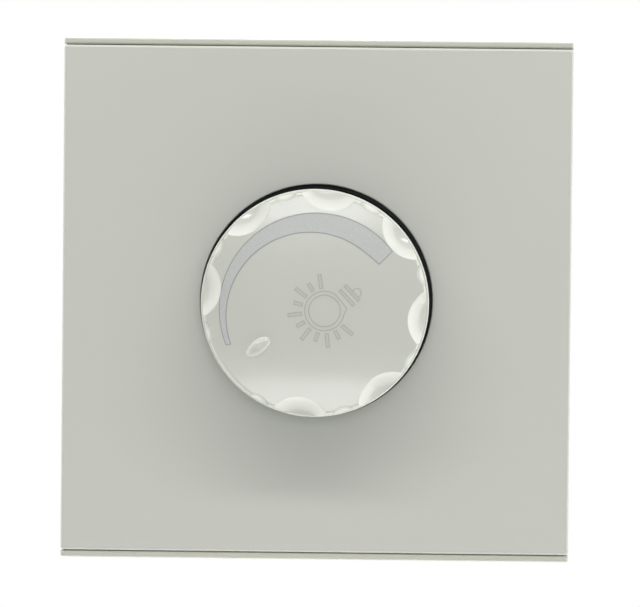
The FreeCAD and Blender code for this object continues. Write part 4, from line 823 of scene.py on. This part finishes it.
class DIMMER_OT_board(Operator):
    """Finish the circuit board and the parts soldered to it"""
    bl_idname = "dimmer.board"
    bl_label = "Circuit board"

    def execute(self, context):
        inside = context.scene.dimmer_inside
        colours = context.scene.dimmer_colours
        dress(laminate("board_laminate", colours.laminate), "circuit_board")
        package = plastic("package_black", colours.package, grain=5000.0, gloss=(0.45, 0.6), relief=0.01 * MM)
        dress(package, "triac")
        dress(metal("sink_aluminium", colours.aluminium, gloss=(0.3, 0.5)), "heat_sink")
        dress(metal("bolt_steel", colours.steel), "triac_screw", "triac_nut")
        dress(plastic("capacitor_yellow", colours.film_case, gloss=(0.18, 0.28), coat=0.2),
              "filter_capacitor")
        dress(plastic("capacitor_red", colours.dipped, depth=0.15, cloud=200.0, gloss=(0.12, 0.2), coat=0.4),
              "timing_capacitor")
        coat = banded("resistor_coat", "resistors", colours.resistor, RESISTOR_BANDS, inside.resistor_body,
                      gloss=(0.18, 0.3))
        dress(coat, "resistors")
        glass = banded("diac_glass", "diac", colours.diac, DIAC_BANDS, inside.diac_body, gloss=(0.1, 0.18))
        dress(glass, "diac")
        return {"FINISHED"}


class DIMMER_OT_choke(Operator):
    """Wind the choke: turns of enamelled wire round its ferrite core"""
    bl_idname = "dimmer.choke"
    bl_label = "Choke"

    def execute(self, context):
        inside = context.scene.dimmer_inside
        colours = context.scene.dimmer_colours
        core = plastic("ferrite_core", colours.ferrite, depth=0.35, cloud=900.0, grain=6000.0,
                       gloss=(0.5, 0.7), relief=0.01 * MM)
        dress(core, "choke_core")
        low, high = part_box("choke_core")
        centre = (low + high) / 2
        outer = (high.x - low.x) / 2
        inner = inside.core_hole / 2
        radius = inside.wire / 2
        gap = radius + (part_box("choke_winding")[1].y - high.y - inside.wire)
        shape = bmesh.new()
        turn = bent_wire(shape, (outer - inner) / 2 + gap, (high.y - low.y) / 2 + gap,
                         inside.bend + gap - radius, radius, inside.sides)
        bmesh.ops.translate(shape, verts=turn, vec=centre + Vector(((outer + inner) / 2, 0.0, 0.0)))
        first = Matrix.Rotation((math.tau - inside.sweep) / 2, 3, "Y")
        bmesh.ops.rotate(shape, cent=centre, matrix=first, verts=turn)
        whole = shape.verts[:] + shape.edges[:] + shape.faces[:]
        bmesh.ops.spin(shape, geom=whole, cent=centre, axis=(0, 1, 0), angle=inside.sweep,
                       steps=inside.turns - 1, use_duplicate=True)
        copper = metal("copper_enamel", colours.copper, depth=0.2, gloss=(0.15, 0.25))
        new_piece("choke_turns", shape, [copper], "base", replaced=("choke_winding",))
        return {"FINISHED"}


class DIMMER_OT_fuse(Operator):
    """Build the fuse: a glass tube between two end caps, with its wire"""
    bl_idname = "dimmer.fuse"
    bl_label = "Fuse"

    def execute(self, context):
        inside = context.scene.dimmer_inside
        colours = context.scene.dimmer_colours
        low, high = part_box("fuse")
        middle = (low + high) / 2
        half = (high.x - low.x) / 2
        radius = (high.z - low.z) / 2
        tube, bore = inside.tube / 2, inside.tube / 2 - inside.tube_wall
        cap_floor = half - inside.tube_wall
        cap_start = half - inside.cap
        edge = inside.tube_wall / 2
        glass = bmesh.new()
        spun_profile(glass, [(-cap_floor, tube), (cap_floor, tube), (cap_floor, bore), (-cap_floor, bore)],
                     inside.tube_sides)
        caps = bmesh.new()
        for sign in (-1, 1):
            spun_profile(caps, [(sign * cap_start, tube), (sign * cap_start, radius),
                                (sign * (half - edge), radius), (sign * half, radius - edge),
                                (sign * half, 0.0), (sign * cap_floor, 0.0), (sign * cap_floor, tube)],
                         inside.tube_sides)
        wire = bmesh.new()
        spun_profile(wire, [(-cap_floor, 0.0), (-cap_floor, inside.melt_wire / 2),
                            (cap_floor, inside.melt_wire / 2), (cap_floor, 0.0)], inside.melt_sides)
        steel = metal("fuse_cap_metal", colours.steel, gloss=(0.15, 0.28))
        finishes = {"fuse_tube": (glass, clear_glass("fuse_glass", colours.glass), "fuse_glass"),
                    "fuse_caps": (caps, steel, "plated_steel"), "fuse_wire": (wire, steel, "plated_steel")}
        for name, (shape, finish, slot) in finishes.items():
            bmesh.ops.translate(shape, verts=shape.verts, vec=middle)
            new_piece(name, shape, [finish], "base", replaced=("fuse",))
        dress(metal("clip_brass", colours.brass), "fuse_clips")
        return {"FINISHED"}


class DIMMER_OT_terminals(Operator):
    """Finish the wiring terminals"""
    bl_idname = "dimmer.terminals"
    bl_label = "Terminals"

    def execute(self, context):
        colours = context.scene.dimmer_colours
        dress(plastic("terminal_plastic", colours.terminal, gloss=(0.35, 0.5)), "terminal_block")
        dress(metal("cage_brass", colours.brass), "terminal_cages")
        dress(metal("clamp_steel", colours.steel), "terminal_screws")
        return {"FINISHED"}


class DIMMER_OT_studio(Operator):
    """Set up the floor, the white surroundings, the lamps and the camera"""
    bl_idname = "dimmer.studio"
    bl_label = "Studio"

    def execute(self, context):
        studio = context.scene.dimmer_studio
        context.scene.view_settings.view_transform = "Standard"
        add_world(context.scene, studio)
        add_floor(context.scene, studio)
        for name, *spot in LAMPS:
            add_lamp(context.scene, f"{name}_lamp", *spot, getattr(studio, name))
        add_camera(context.scene, studio)
        return {"FINISHED"}


class DIMMER_PT_panel(Panel):
    """Lists the steps that dress the dimmer"""
    bl_idname = "DIMMER_PT_panel"
    bl_label = "Rotary dimmer switch"
    bl_space_type = "VIEW_3D"
    bl_region_type = "UI"
    bl_category = "Dimmer"

    def draw(self, context):
        for operator in OPERATORS:
            self.layout.operator(operator.bl_idname)


GROUPS = {"dimmer_colours": DimmerColours, "dimmer_scale": DimmerScale, "dimmer_sign": DimmerSign,
          "dimmer_inside": DimmerInside, "dimmer_studio": DimmerStudio}
OPERATORS = (DIMMER_OT_plate, DIMMER_OT_knob, DIMMER_OT_scale, DIMMER_OT_sign, DIMMER_OT_housing,
             DIMMER_OT_control, DIMMER_OT_board, DIMMER_OT_choke, DIMMER_OT_fuse, DIMMER_OT_terminals,
             DIMMER_OT_studio)


def register():
    """Register the classes and hang the property groups on the scene."""
    for item in (*GROUPS.values(), *OPERATORS, DIMMER_PT_panel):
        bpy.utils.register_class(item)
    for name, group in GROUPS.items():
        setattr(bpy.types.Scene, name, PointerProperty(type=group))


def unregister():
    """Take the property groups and the classes away again."""
    for name in GROUPS:
        delattr(bpy.types.Scene, name)
    for item in reversed((*GROUPS.values(), *OPERATORS, DIMMER_PT_panel)):
        bpy.utils.unregister_class(item)


def main():
    """Run every step in order."""
    register()
    for operator in OPERATORS:
        step = operator.bl_idname.partition(".")[2]
        getattr(bpy.ops.dimmer, step)()


if __name__ == "__main__":
    main()
